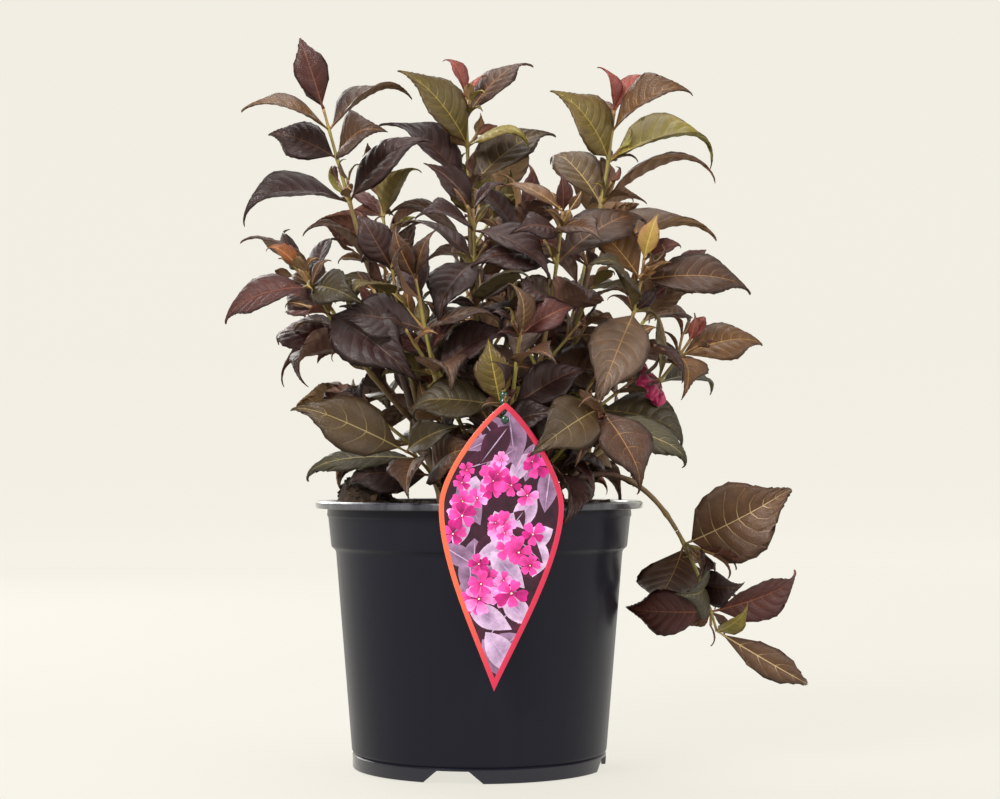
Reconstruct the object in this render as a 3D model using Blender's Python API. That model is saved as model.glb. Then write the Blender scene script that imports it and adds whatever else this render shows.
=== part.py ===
"""A young weigela with dark leaves in its black three-litre nursery pot, with a hanging label.

Metres, +Z up. The origin is at the middle of the pot's flat underside, and the label hangs at -Y.
Every stem rises from the compost, each bough carries one mass of foliage at its tip, and each mass
is a leafy shoot: leaves stand in opposite pairs, each pair turned a quarter from the one above it.
"""

import math
import random
from collections import namedtuple

import bmesh
import bpy
from mathutils import Matrix, Vector
from mathutils.bvhtree import BVHTree

MM = 0.001
GAP = 0.3 * MM
UP = Vector((0.0, 0.0, 1.0))
VIEWER = Vector((0.0, -1.0, 0.0))

# Pot, in millimetres and degrees. Its section goes from the middle of the underside, with a central pad
# and a foot ring, up the wall, the step and the collar, over the lip and down the inside to the floor.
POT_SEGMENTS = 44
RIM_RADIUS = 95.0
POT_HEIGHT = 154.0
POT_OUTSIDE = (
    (0, 0), (16, 0), (17, 7.4), (70, 7.4),
    (71.3, 0), (73.5, 0), (73.5, 7.6), (72.7, 8.4),
    (73.9, 9.8), (83.2, 125.6), (85.8, 127.2), (87.6, 144.2), (88.3, 145.4), (88, 149.5),
    (94.4, 149.5), (RIM_RADIUS, 150.7), (RIM_RADIUS, 152.8), (93.8, POT_HEIGHT), (90, 153.4),
)
POT_INSIDE = ((86.3, 145.4), (84.5, 127.2), (81.9, 124.3), (72.6, 11.3), (71.1, 8.7), (0, 8.7))
NOTCH_COUNT = 4
NOTCH_FIRST = -101.0
NOTCH_FOOT_WIDTH = 34.0
NOTCH_TOP_WIDTH = 18.0
NOTCH_HEIGHT = 6.8
NOTCH_REACH = (66.5, 77.5)
NOTCH_BELOW = -2.0

# Compost, in millimetres
COMPOST_LEVEL = 148.0
PLATEAU = 46.0
PLATEAU_SLOPE = 12.0
COMPOST_CLEARANCE = 0.4
COMPOST_RINGS = (0.9, 0.78, 0.66, 0.5)
MOUND_AT = (-62.0, -38.0)
MOUND_SPREAD = 21.0
MOUND_HEIGHT = 8.0
CRUMB_HEIGHT = 1.4

# Label, in millimetres
LABEL_APEX = (15.0, 208.0)
LABEL_LENGTH = 155.0
LABEL_HALF_WIDTH = 33.5
LABEL_WIDEST = 56.0
LABEL_THICKNESS = 0.8
LABEL_LEAN = 2.3
LABEL_HOLE_DROP = 9.0
LABEL_HOLE_RADIUS = 3.7
LABEL_SHOULDER = ((0, 0), (14, 10), (LABEL_HALF_WIDTH, 40), (LABEL_HALF_WIDTH, LABEL_WIDEST))
LABEL_FLANK = (LABEL_SHOULDER[-1], (LABEL_HALF_WIDTH, 86), (11, 128), (0, LABEL_LENGTH))
LABEL_Y = -RIM_RADIUS - 0.3 - LABEL_THICKNESS / 2
TIE_RADIUS = 0.8
TIE_BACK = 14.5
TIE_HALF_WIDTH = 3.3
TIE_NARROWING = 0.4
TIE_FALL = 0.12
TIE_FRONT = 1.9
TIE_STEPS = 16

# Stems and shoots, in millimetres and degrees
FOOT_FLARE = 1.4
FLARE_HEIGHT = 9.0
TIP_RADIUS = 0.75
STEM_THICKENING = 0.0085
LINE_STEPS = 40
BOUGH_RING_SPACING = 24.0
ROOTED_SIDES = 7
FORKED_SIDES = 5
TWIG_RING_SPACING = 34.0
TWIG_SIDES = 4
SIDE_TWIG_SIDES = 3
SIDE_TWIG_LENGTH = (26.0, 40.0)
SIDE_TWIG_ROOT = 7.0
SIDE_TWIG_OUT = 0.75
SIDE_TWIG_UP = 0.35
FIRST_INTERNODE = 12.0
INTERNODE_GROWTH = 1.45
LONGEST_INTERNODE = 36.0
STALK_BELOW_LEAVES = 9.0
OPENING = (16.0, 34.0, 50.0, 62.0, 72.0, 80.0, 88.0, 94.0)
DROOP = (4.0, 8.0, 12.0, 16.0, 22.0, 28.0, 34.0, 40.0)
LENGTH_BY_AGE = (0.6, 0.76, 0.92, 1.0, 1.0, 0.95, 0.9, 0.85)
LEAF_BREADTH = 0.43
YOUNG_BREADTH = 0.82
LEAF_THICKNESS = 1.0
LEAF_FOLD = 8.0
ARCH = 26.0
HOOK = 40.0
ARCH_REACH = 0.36
HOOK_REACH = 0.3
CURVE_LENGTH = 1.05
SIDE_SHOOT_LEAF = 0.62
SKYWARD_FACE = 0.7
OUTWARD_FACE = 1.2
ROOT_OUT = 0.35
CLEARANCE = 0.45

# How far one leaf may stray from its shoot's rule, in degrees, or as shares of its length
OPENING_STRAY = 7.0
TURN_STRAY = 12.0
DROOP_STRAY = 6.0
ROLL_STRAY = 22.0
LENGTH_STRAY = (0.88, 1.08)

# What a leaf that would touch another tries next: each step turns it, opens it, shortens it, or
# moves the tip of a leaf whose tip is known, in degrees, as a share and in millimetres
TURN_STEP = 26.0
OPENING_STEP = 16.0
SHORTENING_STEP = 0.12
TIP_STEP = 4.0
CHANGES = [Vector((0, 0, 0))] + [
    Vector((x, y, z)) for y in (0, 1, 2) for z in (0, -1, 1) for x in (1, -1, 2, -2)
]

# Stations along a leaf: place, breadth and thickness as shares of the widest
LEAF_STATIONS = ((0.0, 0.06, 1.0), (0.16, 0.56, 1.0), (0.42, 1.0, 0.9), (0.74, 0.6, 0.8))
YOUNG_STATIONS = ((0.0, 0.09, 0.9), (0.38, 1.0, 0.9), (0.74, 0.62, 0.8))
CLEAR_STATION = (0.14, 0.42, 1.0)

# A limb starts at a place on the compost, or at a height on another limb, and ends at its growing tip.
# Its middle stands out from the plant's axis, and up, by the two figures of bow.
Limb = namedtuple("Limb", "name root tip bow pairs leaf heading sides")
LIMBS = (
    Limb("upper_left", (-19, -8), (-89, -20, 378), (2, 0), 6, 64, 200, 1),
    Limb("middle", (1, 8), (-8, 15, 391), (2, 0), 6, 64, 200, 3),
    Limb("upper_right", (19, 4), (78, -10, 379), (9, 0), 6, 64, 200, 1),
    Limb("front_centre", (2, -17), (-3, -45, 318), (2, 0), 5, 58, 160, 2),
    Limb("centre_right", (14, -14), (47, -50, 316), (6, 0), 5, 60, 200, 2),
    Limb("right", (25, -8), (93, -40, 290), (14, 0), 5, 64, 200, 1),
    Limb("far_right", (32, 1), (121, -15, 246), (6, 0), 5, 56, 220, 2),
    Limb("low_right", (30, 11), (139, 8, 77), (8, 50), 4, 62, 200, 2),
    Limb("front_right", (18, -27), (66, -80, 205), (4, 4), 4, 58, 200, 1),
    Limb("front_low", (3, -30), (14, -88, 215), (2, 4), 3, 50, 190, 0),
    Limb("low_left", (-16, -22), (-40, -60, 182), (0, 6), 3, 66, 160, 1),
    Limb("front_left", (-8, -30), (-34, -76, 276), (2, 0), 4, 56, 150, 1),
    Limb("front_middle", (10, -33), (24, -84, 256), (2, 0), 5, 56, 130, 1),
    Limb("back_left", (-14, 18), (-62, 72, 338), (6, 0), 6, 62, 30, 2),
    Limb("back_middle", (3, 24), (8, 88, 352), (6, 0), 6, 62, 70, 2),
    Limb("back_right", (19, 19), (72, 74, 334), (6, 0), 6, 62, 120, 2),
    Limb("far_left", ("upper_left", 192), (-98, -60, 283), (0, -6), 4, 62, 200, 1),
    Limb("inner_left", ("upper_left", 182), (-50, -48, 296), (0, -6), 4, 50, 45, 2),
    Limb("inner_right", ("middle", 182), (22, -4, 318), (6, 0), 5, 60, 20, 2),
    Limb("inner_low_right", ("centre_right", 164), (70, -34, 232), (4, 0), 4, 54, 45, 1),
    Limb("sprout_left", ("front_centre", 172), (-30, -64, 248), (0, -4), 4, 40, 45, 0),
    Limb("back_far_left", ("back_left", 184), (-104, 40, 292), (0, -6), 5, 60, 100, 1),
    Limb("back_far_right", ("back_right", 184), (116, 52, 286), (0, -6), 5, 60, 60, 1),
    Limb("back_low_left", ("back_left", 166), (-82, 66, 214), (0, 4), 4, 58, 100, 1),
    Limb("back_low", ("back_middle", 168), (10, 112, 226), (0, 4), 4, 58, 10, 1),
    Limb("back_low_right", ("back_right", 166), (88, 72, 206), (0, 4), 4, 58, 60, 1),
)

# Leaves that stand out plainly: limb, pair counted from the tip, side, place of the leaf's tip, and
# how far its face is turned towards the label's side.
Seen = namedtuple("Seen", "limb pair side tip face")
SEEN_LEAVES = (
    Seen("upper_left", 0, 0, (-104, -24, 421), 2.0),
    Seen("upper_left", 1, 0, (-135, -40, 376), 1.0),
    Seen("upper_left", 1, 1, (-39, 0, 395), 0.8),
    Seen("upper_left", 2, 0, (-124, -5, 366), 2.5),
    Seen("upper_left", 2, 1, (-53, -50, 364), 2.5),
    Seen("upper_left", 3, 0, (-140, -40, 317), 1.2),
    Seen("upper_left", 3, 1, (-26, -25, 365), 2.0),
    Seen("upper_left", 4, 0, (-99, -50, 310), 1.2),
    Seen("upper_left", 4, 1, (-55, -62, 305), 3.0),
    Seen("middle", 0, 0, (-21, 10, 416), 0.8),
    Seen("middle", 0, 1, (0, 20, 410), 0.8),
    Seen("middle", 1, 0, (-33, 40, 397), 0.6),
    Seen("middle", 1, 1, (32, 30, 416), 1.0),
    Seen("middle", 2, 0, (-47, -10, 404), 2.5),
    Seen("middle", 2, 1, (32, -10, 366), 1.0),
    Seen("middle", 3, 0, (-60, 15, 378), 1.2),
    Seen("middle", 3, 1, (47, 35, 374), 1.2),
    Seen("middle", 4, 0, (-53, -5, 328), 0.6),
    Seen("upper_right", 0, 0, (70, -14, 406), 0.8),
    Seen("upper_right", 0, 1, (93, 0, 403), 0.8),
    Seen("upper_right", 1, 0, (61, 10, 386), 0.8),
    Seen("upper_right", 1, 1, (115, -30, 391), 1.4),
    Seen("upper_right", 2, 0, (41, -35, 388), 2.5),
    Seen("upper_right", 2, 1, (146, 10, 363), 0.8),
    Seen("upper_right", 3, 0, (39, 20, 361), 1.6),
    Seen("upper_right", 3, 1, (139, -30, 348), 0.6),
    Seen("upper_right", 4, 1, (142, 10, 313), 0.6),
    Seen("front_centre", 0, 0, (-31, -60, 342), 2.5),
    Seen("front_centre", 0, 1, (15, -56, 333), 2.0),
    Seen("front_centre", 1, 0, (-35, -78, 312), 2.5),
    Seen("front_centre", 1, 1, (41, -62, 278), 0.9),
    Seen("front_centre", 2, 0, (-26, -75, 251), 1.5),
    Seen("centre_right", 0, 0, (11, -40, 332), 1.0),
    Seen("centre_right", 0, 1, (46, -56, 338), 2.0),
    Seen("centre_right", 1, 0, (18, -74, 302), 2.0),
    Seen("centre_right", 1, 1, (68, -84, 296), 1.6),
    Seen("centre_right", 2, 0, (-7, -60, 285), 1.0),
    Seen("centre_right", 2, 1, (101, -20, 318), 0.9),
    Seen("centre_right", 3, 0, (24, -95, 262), 1.5),
    Seen("right", 0, 0, (101, -44, 317), 2.0),
    Seen("right", 0, 1, (117, -38, 299), 1.3),
    Seen("right", 1, 0, (53, -30, 318), 2.0),
    Seen("right", 1, 1, (157, -30, 273), 2.0),
    Seen("right", 2, 0, (63, -70, 202), 3.0),
    Seen("far_right", 0, 0, (124, -18, 262), 0.8),
    Seen("far_right", 0, 1, (136, -10, 262), 0.8),
    Seen("far_right", 1, 0, (117, -60, 214), 2.5),
    Seen("far_right", 1, 1, (167, 0, 245), 1.1),
    Seen("low_right", 0, 0, (157, -12, 94), 1.2),
    Seen("low_right", 0, 1, (202, 20, 41), 1.3),
    Seen("low_right", 1, 0, (84, 22, 90), 2.0),
    Seen("low_right", 1, 1, (192, 25, 110), 1.0),
    Seen("low_right", 2, 0, (115, -36, 99), 2.5),
    Seen("low_right", 2, 1, (146, -20, 108), 1.5),
    Seen("low_right", 3, 0, (103, 45, 92), 1.5),
    Seen("low_right", 3, 1, (186, -15, 166), 3.0),
    Seen("front_right", 0, 0, (27, -112, 178), 2.5),
    Seen("front_right", 0, 1, (91, -100, 158), 2.5),
    Seen("front_right", 1, 1, (123, -62, 172), 1.0),
    Seen("front_low", 1, 0, (-44, -72, 206), 1.5),
    Seen("low_left", 0, 0, (-106, -80, 210), 2.5),
    Seen("low_left", 0, 1, (-8, -82, 196), 1.5),
    Seen("low_left", 1, 0, (-105, -22, 166), 0.5),
    Seen("low_left", 1, 1, (-47, -92, 161), 1.5),
    Seen("far_left", 0, 0, (-117, -66, 297), 2.0),
    Seen("far_left", 1, 0, (-145, -40, 254), 0.7),
    Seen("far_left", 1, 1, (-63, -86, 262), 3.0),
    Seen("far_left", 2, 0, (-112, -22, 271), 1.0),
    Seen("far_left", 2, 1, (-32, -78, 219), 2.5),
    Seen("back_far_left", 1, 0, (-137, 10, 310), 0.5),
)

BUD_LIMB = "far_right"
BUD_NODE = 2
BUD_LENGTH = 20.0
BUD_RADIUS = 2.6
BUD_SIDES = 5
BUD_STATIONS = ((0.0, 0.3), (0.45, 0.4), (0.8, 1.0), (1.0, 0.35))
BUD_HEADINGS = ((200, 20), (228, -6), (176, -18), (250, -30))

LABEL_GREEN = (0.01, 0.09, 0.03, 1.0)
LEAF_COLOUR = (0.06, 0.036, 0.026, 1.0)
BARK_COLOUR = (0.13, 0.1, 0.06, 1.0)
POT_COLOUR = (0.012, 0.013, 0.016, 1.0)
COMPOST_COLOUR = (0.03, 0.018, 0.012, 1.0)
LABEL_COLOUR = (0.75, 0.04, 0.16, 1.0)

Leaf = namedtuple("Leaf", "base first second tip side_axis length breadth young")


def clear_scene():
    for obj in list(bpy.data.objects):
        bpy.data.objects.remove(obj, do_unlink=True)


def material(name, colour, roughness):
    made = bpy.data.materials.new(name)
    made.use_nodes = True
    shader = made.node_tree.nodes["Principled BSDF"]
    shader.inputs["Base Color"].default_value = colour
    shader.inputs["Roughness"].default_value = roughness
    return made


def new_object(name, vertices, faces, finish, smooth=True):
    """An object of a closed mesh whose faces are turned outwards."""
    mesh = bpy.data.meshes.new(name)
    work = bmesh.new()
    corners = [work.verts.new(point) for point in vertices]
    for face in faces:
        work.faces.new([corners[index] for index in face])
    bmesh.ops.recalc_face_normals(work, faces=work.faces)
    work.to_mesh(mesh)
    work.free()
    if smooth:
        mesh.shade_smooth()
        mesh.set_sharp_from_angle(angle=math.radians(40))
    mesh.materials.append(finish)
    obj = bpy.data.objects.new(name, mesh)
    bpy.context.scene.collection.objects.link(obj)
    return obj


def turned(profile, segments):
    """Vertices and faces of a closed shape turned about Z; the profile starts and ends on the axis."""
    vertices = [Vector((0, 0, profile[0][1])) * MM]
    for radius, height in profile[1:-1]:
        for step in range(segments):
            angle = 2 * math.pi * step / segments
            vertices.append(Vector((radius * math.cos(angle), radius * math.sin(angle), height)) * MM)
    vertices.append(Vector((0, 0, profile[-1][1])) * MM)
    faces = []
    rings = len(profile) - 2
    for step in range(segments):
        after = (step + 1) % segments
        faces.append((0, 1 + after, 1 + step))
        for ring in range(rings - 1):
            low = 1 + ring * segments
            high = low + segments
            faces.append((low + step, low + after, high + after, high + step))
        last = 1 + (rings - 1) * segments
        faces.append((last + step, last + after, len(vertices) - 1))
    return vertices, faces


def make_pot(finish):
    vertices, faces = turned(POT_OUTSIDE + POT_INSIDE, POT_SEGMENTS)
    pot = new_object("pot", vertices, faces, finish)
    for number in range(NOTCH_COUNT):
        cutter = notch_cutter(number, finish)
        cut = pot.modifiers.new(cutter.name, "BOOLEAN")
        cut.operation = "DIFFERENCE"
        cut.object = cutter
    return pot


def notch_cutter(number, finish):
    """A wedge across the foot ring that leaves one drain notch, wider at the ground than above."""
    slope = (NOTCH_FOOT_WIDTH - NOTCH_TOP_WIDTH) / 2 / NOTCH_HEIGHT
    foot_half = NOTCH_FOOT_WIDTH / 2 - slope * NOTCH_BELOW
    section = (
        (-foot_half, NOTCH_BELOW),
        (foot_half, NOTCH_BELOW),
        (NOTCH_TOP_WIDTH / 2, NOTCH_HEIGHT),
        (-NOTCH_TOP_WIDTH / 2, NOTCH_HEIGHT),
    )
    spin = Matrix.Rotation(math.radians(NOTCH_FIRST + 360 * number / NOTCH_COUNT), 4, "Z")
    vertices = [spin @ (Vector((x, y, z)) * MM) for x in NOTCH_REACH for y, z in section]
    faces = [(0, 1, 2, 3), (4, 5, 6, 7)]
    faces += [(i, (i + 1) % 4, 4 + (i + 1) % 4, 4 + i) for i in range(4)]
    cutter = new_object(f"notch_cutter_{number}", vertices, faces, finish, smooth=False)
    cutter.hide_render = True
    cutter.display_type = "WIRE"
    return cutter


def compost_height(x, y, chance):
    """Level about the stems and crumbly towards the wall, with a mound at the left front."""
    away = max(0.0, min(1.0, (math.hypot(x, y) - PLATEAU) / PLATEAU_SLOPE))
    from_mound = math.hypot(x - MOUND_AT[0], y - MOUND_AT[1])
    mound = MOUND_HEIGHT * math.exp(-((from_mound / MOUND_SPREAD) ** 2))
    return COMPOST_LEVEL + away * (mound + chance.uniform(-CRUMB_HEIGHT, CRUMB_HEIGHT))


def make_compost(finish):
    chance = random.Random("compost")
    clear = COMPOST_CLEARANCE
    wall = [(radius - clear, height + clear) for radius, height in reversed(POT_INSIDE[:-1])]
    edge = wall[-1][0]
    top = [(edge * share, COMPOST_LEVEL) for share in COMPOST_RINGS]
    bottom = POT_INSIDE[-1][1] + clear
    profile = [(0, bottom)] + wall + top + [(0, COMPOST_LEVEL)]
    vertices, faces = turned(profile, POT_SEGMENTS // 2)
    for point in vertices:
        if abs(point.z - COMPOST_LEVEL * MM) < 1e-6:
            point.z = compost_height(point.x / MM, point.y / MM, chance) * MM
    return new_object("compost", vertices, faces, finish)


def bezier(points, share):
    """A point on the curve that the given control points shape."""
    while len(points) > 1:
        points = [a.lerp(b, share) for a, b in zip(points, points[1:])]
    return points[0]


def label_outline():
    """Half of the teardrop from apex to foot, as distances out from the middle and down."""
    half = []
    for curve, steps in ((LABEL_SHOULDER, 7), (LABEL_FLANK, 8)):
        corners = [Vector(point) for point in curve]
        half += [bezier(corners, step / steps) for step in range(steps)]
    return half + [Vector((0, LABEL_LENGTH))]


def make_label(finish):
    half = label_outline()
    around = half + [Vector((-point.x, point.y)) for point in reversed(half[1:-1])]
    count = len(around)
    vertices = [label_place(p.x, p.y, side * LABEL_THICKNESS / 2) for side in (-1, 1) for p in around]
    faces = [tuple(range(count)), tuple(range(count, 2 * count))]
    faces += [(i, (i + 1) % count, count + (i + 1) % count, count + i) for i in range(count)]
    label = new_object("label", vertices, faces, finish, smooth=False)
    hole = bpy.data.meshes.new("label_hole_cutter")
    work = bmesh.new()
    bmesh.ops.create_cone(
        work,
        cap_ends=True,
        segments=16,
        radius1=LABEL_HOLE_RADIUS * MM,
        radius2=LABEL_HOLE_RADIUS * MM,
        depth=8 * LABEL_THICKNESS * MM,
        matrix=Matrix.Translation(label_hole()) @ Matrix.Rotation(math.pi / 2, 4, "X"),
    )
    work.to_mesh(hole)
    work.free()
    cutter = bpy.data.objects.new("label_hole_cutter", hole)
    bpy.context.scene.collection.objects.link(cutter)
    cutter.hide_render = True
    cutter.display_type = "WIRE"
    cut = label.modifiers.new("hole", "BOOLEAN")
    cut.operation = "DIFFERENCE"
    cut.object = cutter
    return label


def label_place(across, down, proud=0.0):
    """The place in space of a point of the label, which leans about its apex."""
    lean = math.radians(LABEL_LEAN)
    x = LABEL_APEX[0] + across * math.cos(lean) - down * math.sin(lean)
    z = LABEL_APEX[1] - down * math.cos(lean) - across * math.sin(lean)
    return Vector((x, LABEL_Y + proud, z)) * MM


def label_hole():
    return label_place(0, LABEL_HOLE_DROP)


def tie_path():
    """An egg-shaped loop, narrow where it goes through the label and wide about the twig."""
    middle = label_hole() + Vector((0, (TIE_BACK - TIE_FRONT) / 2, 0)) * MM
    half_length = (TIE_BACK + TIE_FRONT) / 2 * MM
    points = []
    for step in range(TIE_STEPS):
        angle = 2 * math.pi * step / TIE_STEPS
        width = TIE_HALF_WIDTH * MM * (1 - TIE_NARROWING * math.cos(angle))
        forward = half_length * math.cos(angle)
        points.append(middle + Vector((width * math.sin(angle), -forward, -TIE_FALL * forward)))
    return points


def ring_about(centre, direction, radius, sides, first):
    """The corners of one ring of a tube, square to its direction."""
    across = (first - first.dot(direction) * direction).normalized()
    other = direction.cross(across)
    turn = 2 * math.pi / sides
    return [
        centre + radius * (math.cos(turn * i) * across + math.sin(turn * i) * other)
        for i in range(sides)
    ]


def tube(points, radii, sides, flat_foot=False, loop=False):
    """Vertices and faces of a closed round limb along a path, or of a loop."""
    count = len(points)
    first = Vector((1.0, 0.35, 0.2))
    vertices = []
    for index, (point, radius) in enumerate(zip(points, radii)):
        before = points[index - 1] if loop or index else point
        after = points[(index + 1) % count] if loop or index < count - 1 else point
        direction = (after - before).normalized()
        if flat_foot and index == 0:
            direction = UP
        vertices += ring_about(point, direction, radius, sides, first)
    faces = []
    for index in range(count if loop else count - 1):
        low = index * sides
        high = (index + 1) % count * sides
        for side in range(sides):
            after = (side + 1) % sides
            faces.append((low + side, low + after, high + after, high + side))
    if not loop:
        faces.append(tuple(range(sides)))
        faces.append(tuple((count - 1) * sides + side for side in range(sides)))
    return vertices, faces


def make_tie(finish):
    path = tie_path()
    vertices, faces = tube(path, [TIE_RADIUS * MM] * len(path), 6, loop=True)
    return new_object("label_tie", vertices, faces, finish)


class Line:
    """A limb's centre line, with places on it given by the distance from its tip."""

    def __init__(self, start, bow, end):
        middle = (start + end) / 2
        outward = Vector((middle.x, middle.y, 0)).normalized()
        knee = middle + 2 * (bow[0] * outward + bow[1] * UP) * MM
        shares = [i / LINE_STEPS for i in range(LINE_STEPS + 1)]
        self.points = [bezier([start, knee, end], share) for share in shares]
        self.lengths = [0.0]
        for a, b in zip(self.points, self.points[1:]):
            self.lengths.append(self.lengths[-1] + (b - a).length)
        self.length = self.lengths[-1]

    def at(self, from_tip):
        """The place on the line this far from its tip, and the way the line goes there."""
        along = min(max(self.length - from_tip, 0.0), self.length - 1e-9)
        index = max(i for i, length in enumerate(self.lengths[:-1]) if length <= along)
        start, end = self.points[index], self.points[index + 1]
        share = (along - self.lengths[index]) / (self.lengths[index + 1] - self.lengths[index])
        return start.lerp(end, share), (end - start).normalized()

    def at_height(self, height):
        """The distance from the tip where the line first comes to this height."""
        for point, length in zip(self.points, self.lengths):
            if point.z >= height:
                return self.length - length
        raise ValueError("the line stays below this height")


def limb_radius(from_tip):
    return (TIP_RADIUS + STEM_THICKENING * from_tip / MM) * MM


def internodes(pairs):
    """The distances of the leaf pairs from the shoot's tip."""
    places = [0.0]
    step = FIRST_INTERNODE
    while len(places) < pairs:
        places.append(places[-1] + min(step, LONGEST_INTERNODE) * MM)
        step *= INTERNODE_GROWTH
    return places


def limb_line(limb, lines):
    """The limb's centre line: from the compost, or from just off the side of the limb it forks from."""
    end = Vector(limb.tip) * MM
    if isinstance(limb.root[0], str):
        parent = lines[limb.root[0]]
        from_tip = parent.at_height(limb.root[1] * MM)
        centre, along = parent.at(from_tip)
        outward = (end - centre).normalized()
        square = (outward - outward.dot(along) * along).normalized()
        own = limb_radius((end - centre).length)
        off = limb_radius(from_tip) + own * abs(outward.dot(along)) + GAP
        start = centre + square * off
        start += along * off * outward.dot(along) / max(outward.dot(square), 0.3)
    else:
        start = Vector((limb.root[0], limb.root[1], COMPOST_LEVEL)) * MM + GAP * UP
    return Line(start, limb.bow, end)


def leaf_of(base, axis, chord, face, length, roll, young):
    """A leaf as a curve from its base to its tip, with the axis across its blade."""
    toward = chord.normalized()
    light = axis + SKYWARD_FACE * UP + face
    normal = (light - light.dot(toward) * toward).normalized()
    side = toward.cross(normal)
    side.rotate(Matrix.Rotation(math.radians(roll), 3, toward))
    arch = Matrix.Rotation(math.radians(ARCH), 3, side)
    hook = Matrix.Rotation(math.radians(-HOOK), 3, side)
    first = base + arch @ toward * chord.length * ARCH_REACH
    second = base + chord - hook @ toward * chord.length * HOOK_REACH
    breadth = length * LEAF_BREADTH * (YOUNG_BREADTH if young else 1.0)
    return Leaf(base, first, second, base + chord, side, length, breadth, young)


def leaf_shape(leaf, skip_root=False, grow=0.0):
    """Vertices and faces of a thin keeled blade that ends in a point."""
    stations = YOUNG_STATIONS if leaf.young else LEAF_STATIONS
    if skip_root:
        stations = (CLEAR_STATION,) + stations[1 if leaf.young else 2:]
    curve = [leaf.base, leaf.first, leaf.second, leaf.tip]
    fold = math.radians(LEAF_FOLD)
    vertices = []
    for place, breadth, thickness in stations:
        centre = bezier(curve, place)
        along = (bezier(curve, place + 0.02) - bezier(curve, place - 0.02)).normalized()
        across = (leaf.side_axis - leaf.side_axis.dot(along) * along).normalized()
        normal = across.cross(along)
        half = leaf.breadth * breadth / 2 + grow
        thick = LEAF_THICKNESS * MM * thickness
        lift = normal * (half * math.sin(fold) + grow)
        reach = across * half * math.cos(fold)
        keel = centre - normal * (max(thick - half * math.sin(fold), 0.0) + grow)
        vertices += [centre - reach + lift, keel, centre + reach + lift]
        if grow:
            vertices.append(centre + normal * 2 * grow)
    corners = 4 if grow else 3
    end = (leaf.tip - leaf.second).normalized()
    vertices.append(leaf.tip + end * grow)
    faces = [tuple(range(corners))]
    for ring in range(len(stations) - 1):
        low = ring * corners
        for i in range(corners):
            after = (i + 1) % corners
            faces.append((low + i, low + after, low + corners + after, low + corners + i))
    last = (len(stations) - 1) * corners
    faces += [(last + i, last + (i + 1) % corners, len(vertices) - 1) for i in range(corners)]
    return vertices, faces


class Crowd:
    """Everything placed so far, to keep each new leaf or twig clear of it.

    Within one mass a piece is tested without its root, which is sunk into its own twig.
    """

    def __init__(self):
        self.placed = []

    def add_if_clear(self, owner, whole, rootless=None, always=False):
        centre = sum(whole[0], Vector()) / len(whole[0])
        reach = max((point - centre).length for point in whole[0])
        whole_tree = BVHTree.FromPolygons(*whole)
        own_tree = BVHTree.FromPolygons(*rootless) if rootless else whole_tree
        if not always:
            for other, other_centre, other_reach, other_whole, other_own in self.placed:
                if (other_centre - centre).length > reach + other_reach:
                    continue
                if other == owner:
                    touching = other_own.overlap(own_tree)
                else:
                    touching = other_whole.overlap(whole_tree)
                if touching:
                    return False
        self.placed.append((owner, centre, reach, whole_tree, own_tree))
        return True


def stray(chance, most):
    return chance.uniform(-most, most)


class Shoot:
    """A leafy shoot: the last stretch of a limb's line, or a side shoot from one of its nodes."""

    def __init__(self, name, owner, line, pairs, leaf, heading, small=False):
        self.name = name
        self.owner = owner
        self.small = small
        self.line = line
        self.places = internodes(pairs)
        self.leaf = leaf
        self.heading = heading
        self.leaves = {}

    def leaf_base(self, pair, side):
        point, axis = self.line.at(self.places[pair])
        angle = math.radians(self.heading + 90 * pair + 180 * side)
        level = Vector((math.cos(angle), math.sin(angle), 0))
        out = (level - level.dot(axis) * axis).normalized()
        base = point + out * ROOT_OUT * limb_radius(self.places[pair])
        return base, axis, out

    def seen_leaf(self, seen, change):
        """A leaf whose tip is known, a little moved when it would touch another."""
        point, axis, _ = self.leaf_base(seen.pair, seen.side)
        chord = Vector(seen.tip) * MM - point + change * TIP_STEP * MM
        length = chord.length * CURVE_LENGTH
        return leaf_of(point, axis, chord, seen.face * VIEWER, length, 0.0, seen.pair == 0)

    def ruled_leaf(self, pair, side, change):
        """A leaf by the shoot's rule, opened and turned a little more on each new try."""
        chance = random.Random(f"{self.name} {pair} {side}")
        point, axis, out = self.leaf_base(pair, side)
        age = min(pair, len(OPENING) - 1)
        opening = OPENING[age] + stray(chance, OPENING_STRAY) + OPENING_STEP * change.z
        turn = stray(chance, TURN_STRAY) + TURN_STEP * change.x
        out.rotate(Matrix.Rotation(math.radians(turn), 3, axis))
        way = axis * math.cos(math.radians(opening)) + out * math.sin(math.radians(opening))
        way -= UP * math.sin(math.radians(DROOP[age] + stray(chance, DROOP_STRAY)))
        length = self.leaf * LENGTH_BY_AGE[age] * chance.uniform(*LENGTH_STRAY) * MM
        length *= 1 - SHORTENING_STEP * abs(change.y)
        roll = stray(chance, ROLL_STRAY)
        chord = way.normalized() * length / CURVE_LENGTH
        outward = Vector((point.x, point.y, 0)).normalized() * OUTWARD_FACE
        return leaf_of(point, axis, chord, outward, length, roll, self.small or pair == 0)


def place_leaf(shoot, pair, side, crowd, seen=None):
    """Puts the first form of the leaf that touches nothing, or leaves it out."""
    for change in CHANGES:
        leaf = shoot.seen_leaf(seen, change) if seen else shoot.ruled_leaf(pair, side, change)
        whole = leaf_shape(leaf, grow=CLEARANCE * MM)
        rootless = leaf_shape(leaf, skip_root=True, grow=CLEARANCE * MM)
        if crowd.add_if_clear(shoot.owner, whole, rootless):
            shoot.leaves[pair, side] = leaf
            return


def bough_split(limb):
    """How far from a limb's tip its bough ends and its mass begins."""
    return internodes(limb.pairs)[-1] + STALK_BELOW_LEAVES * MM


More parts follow.
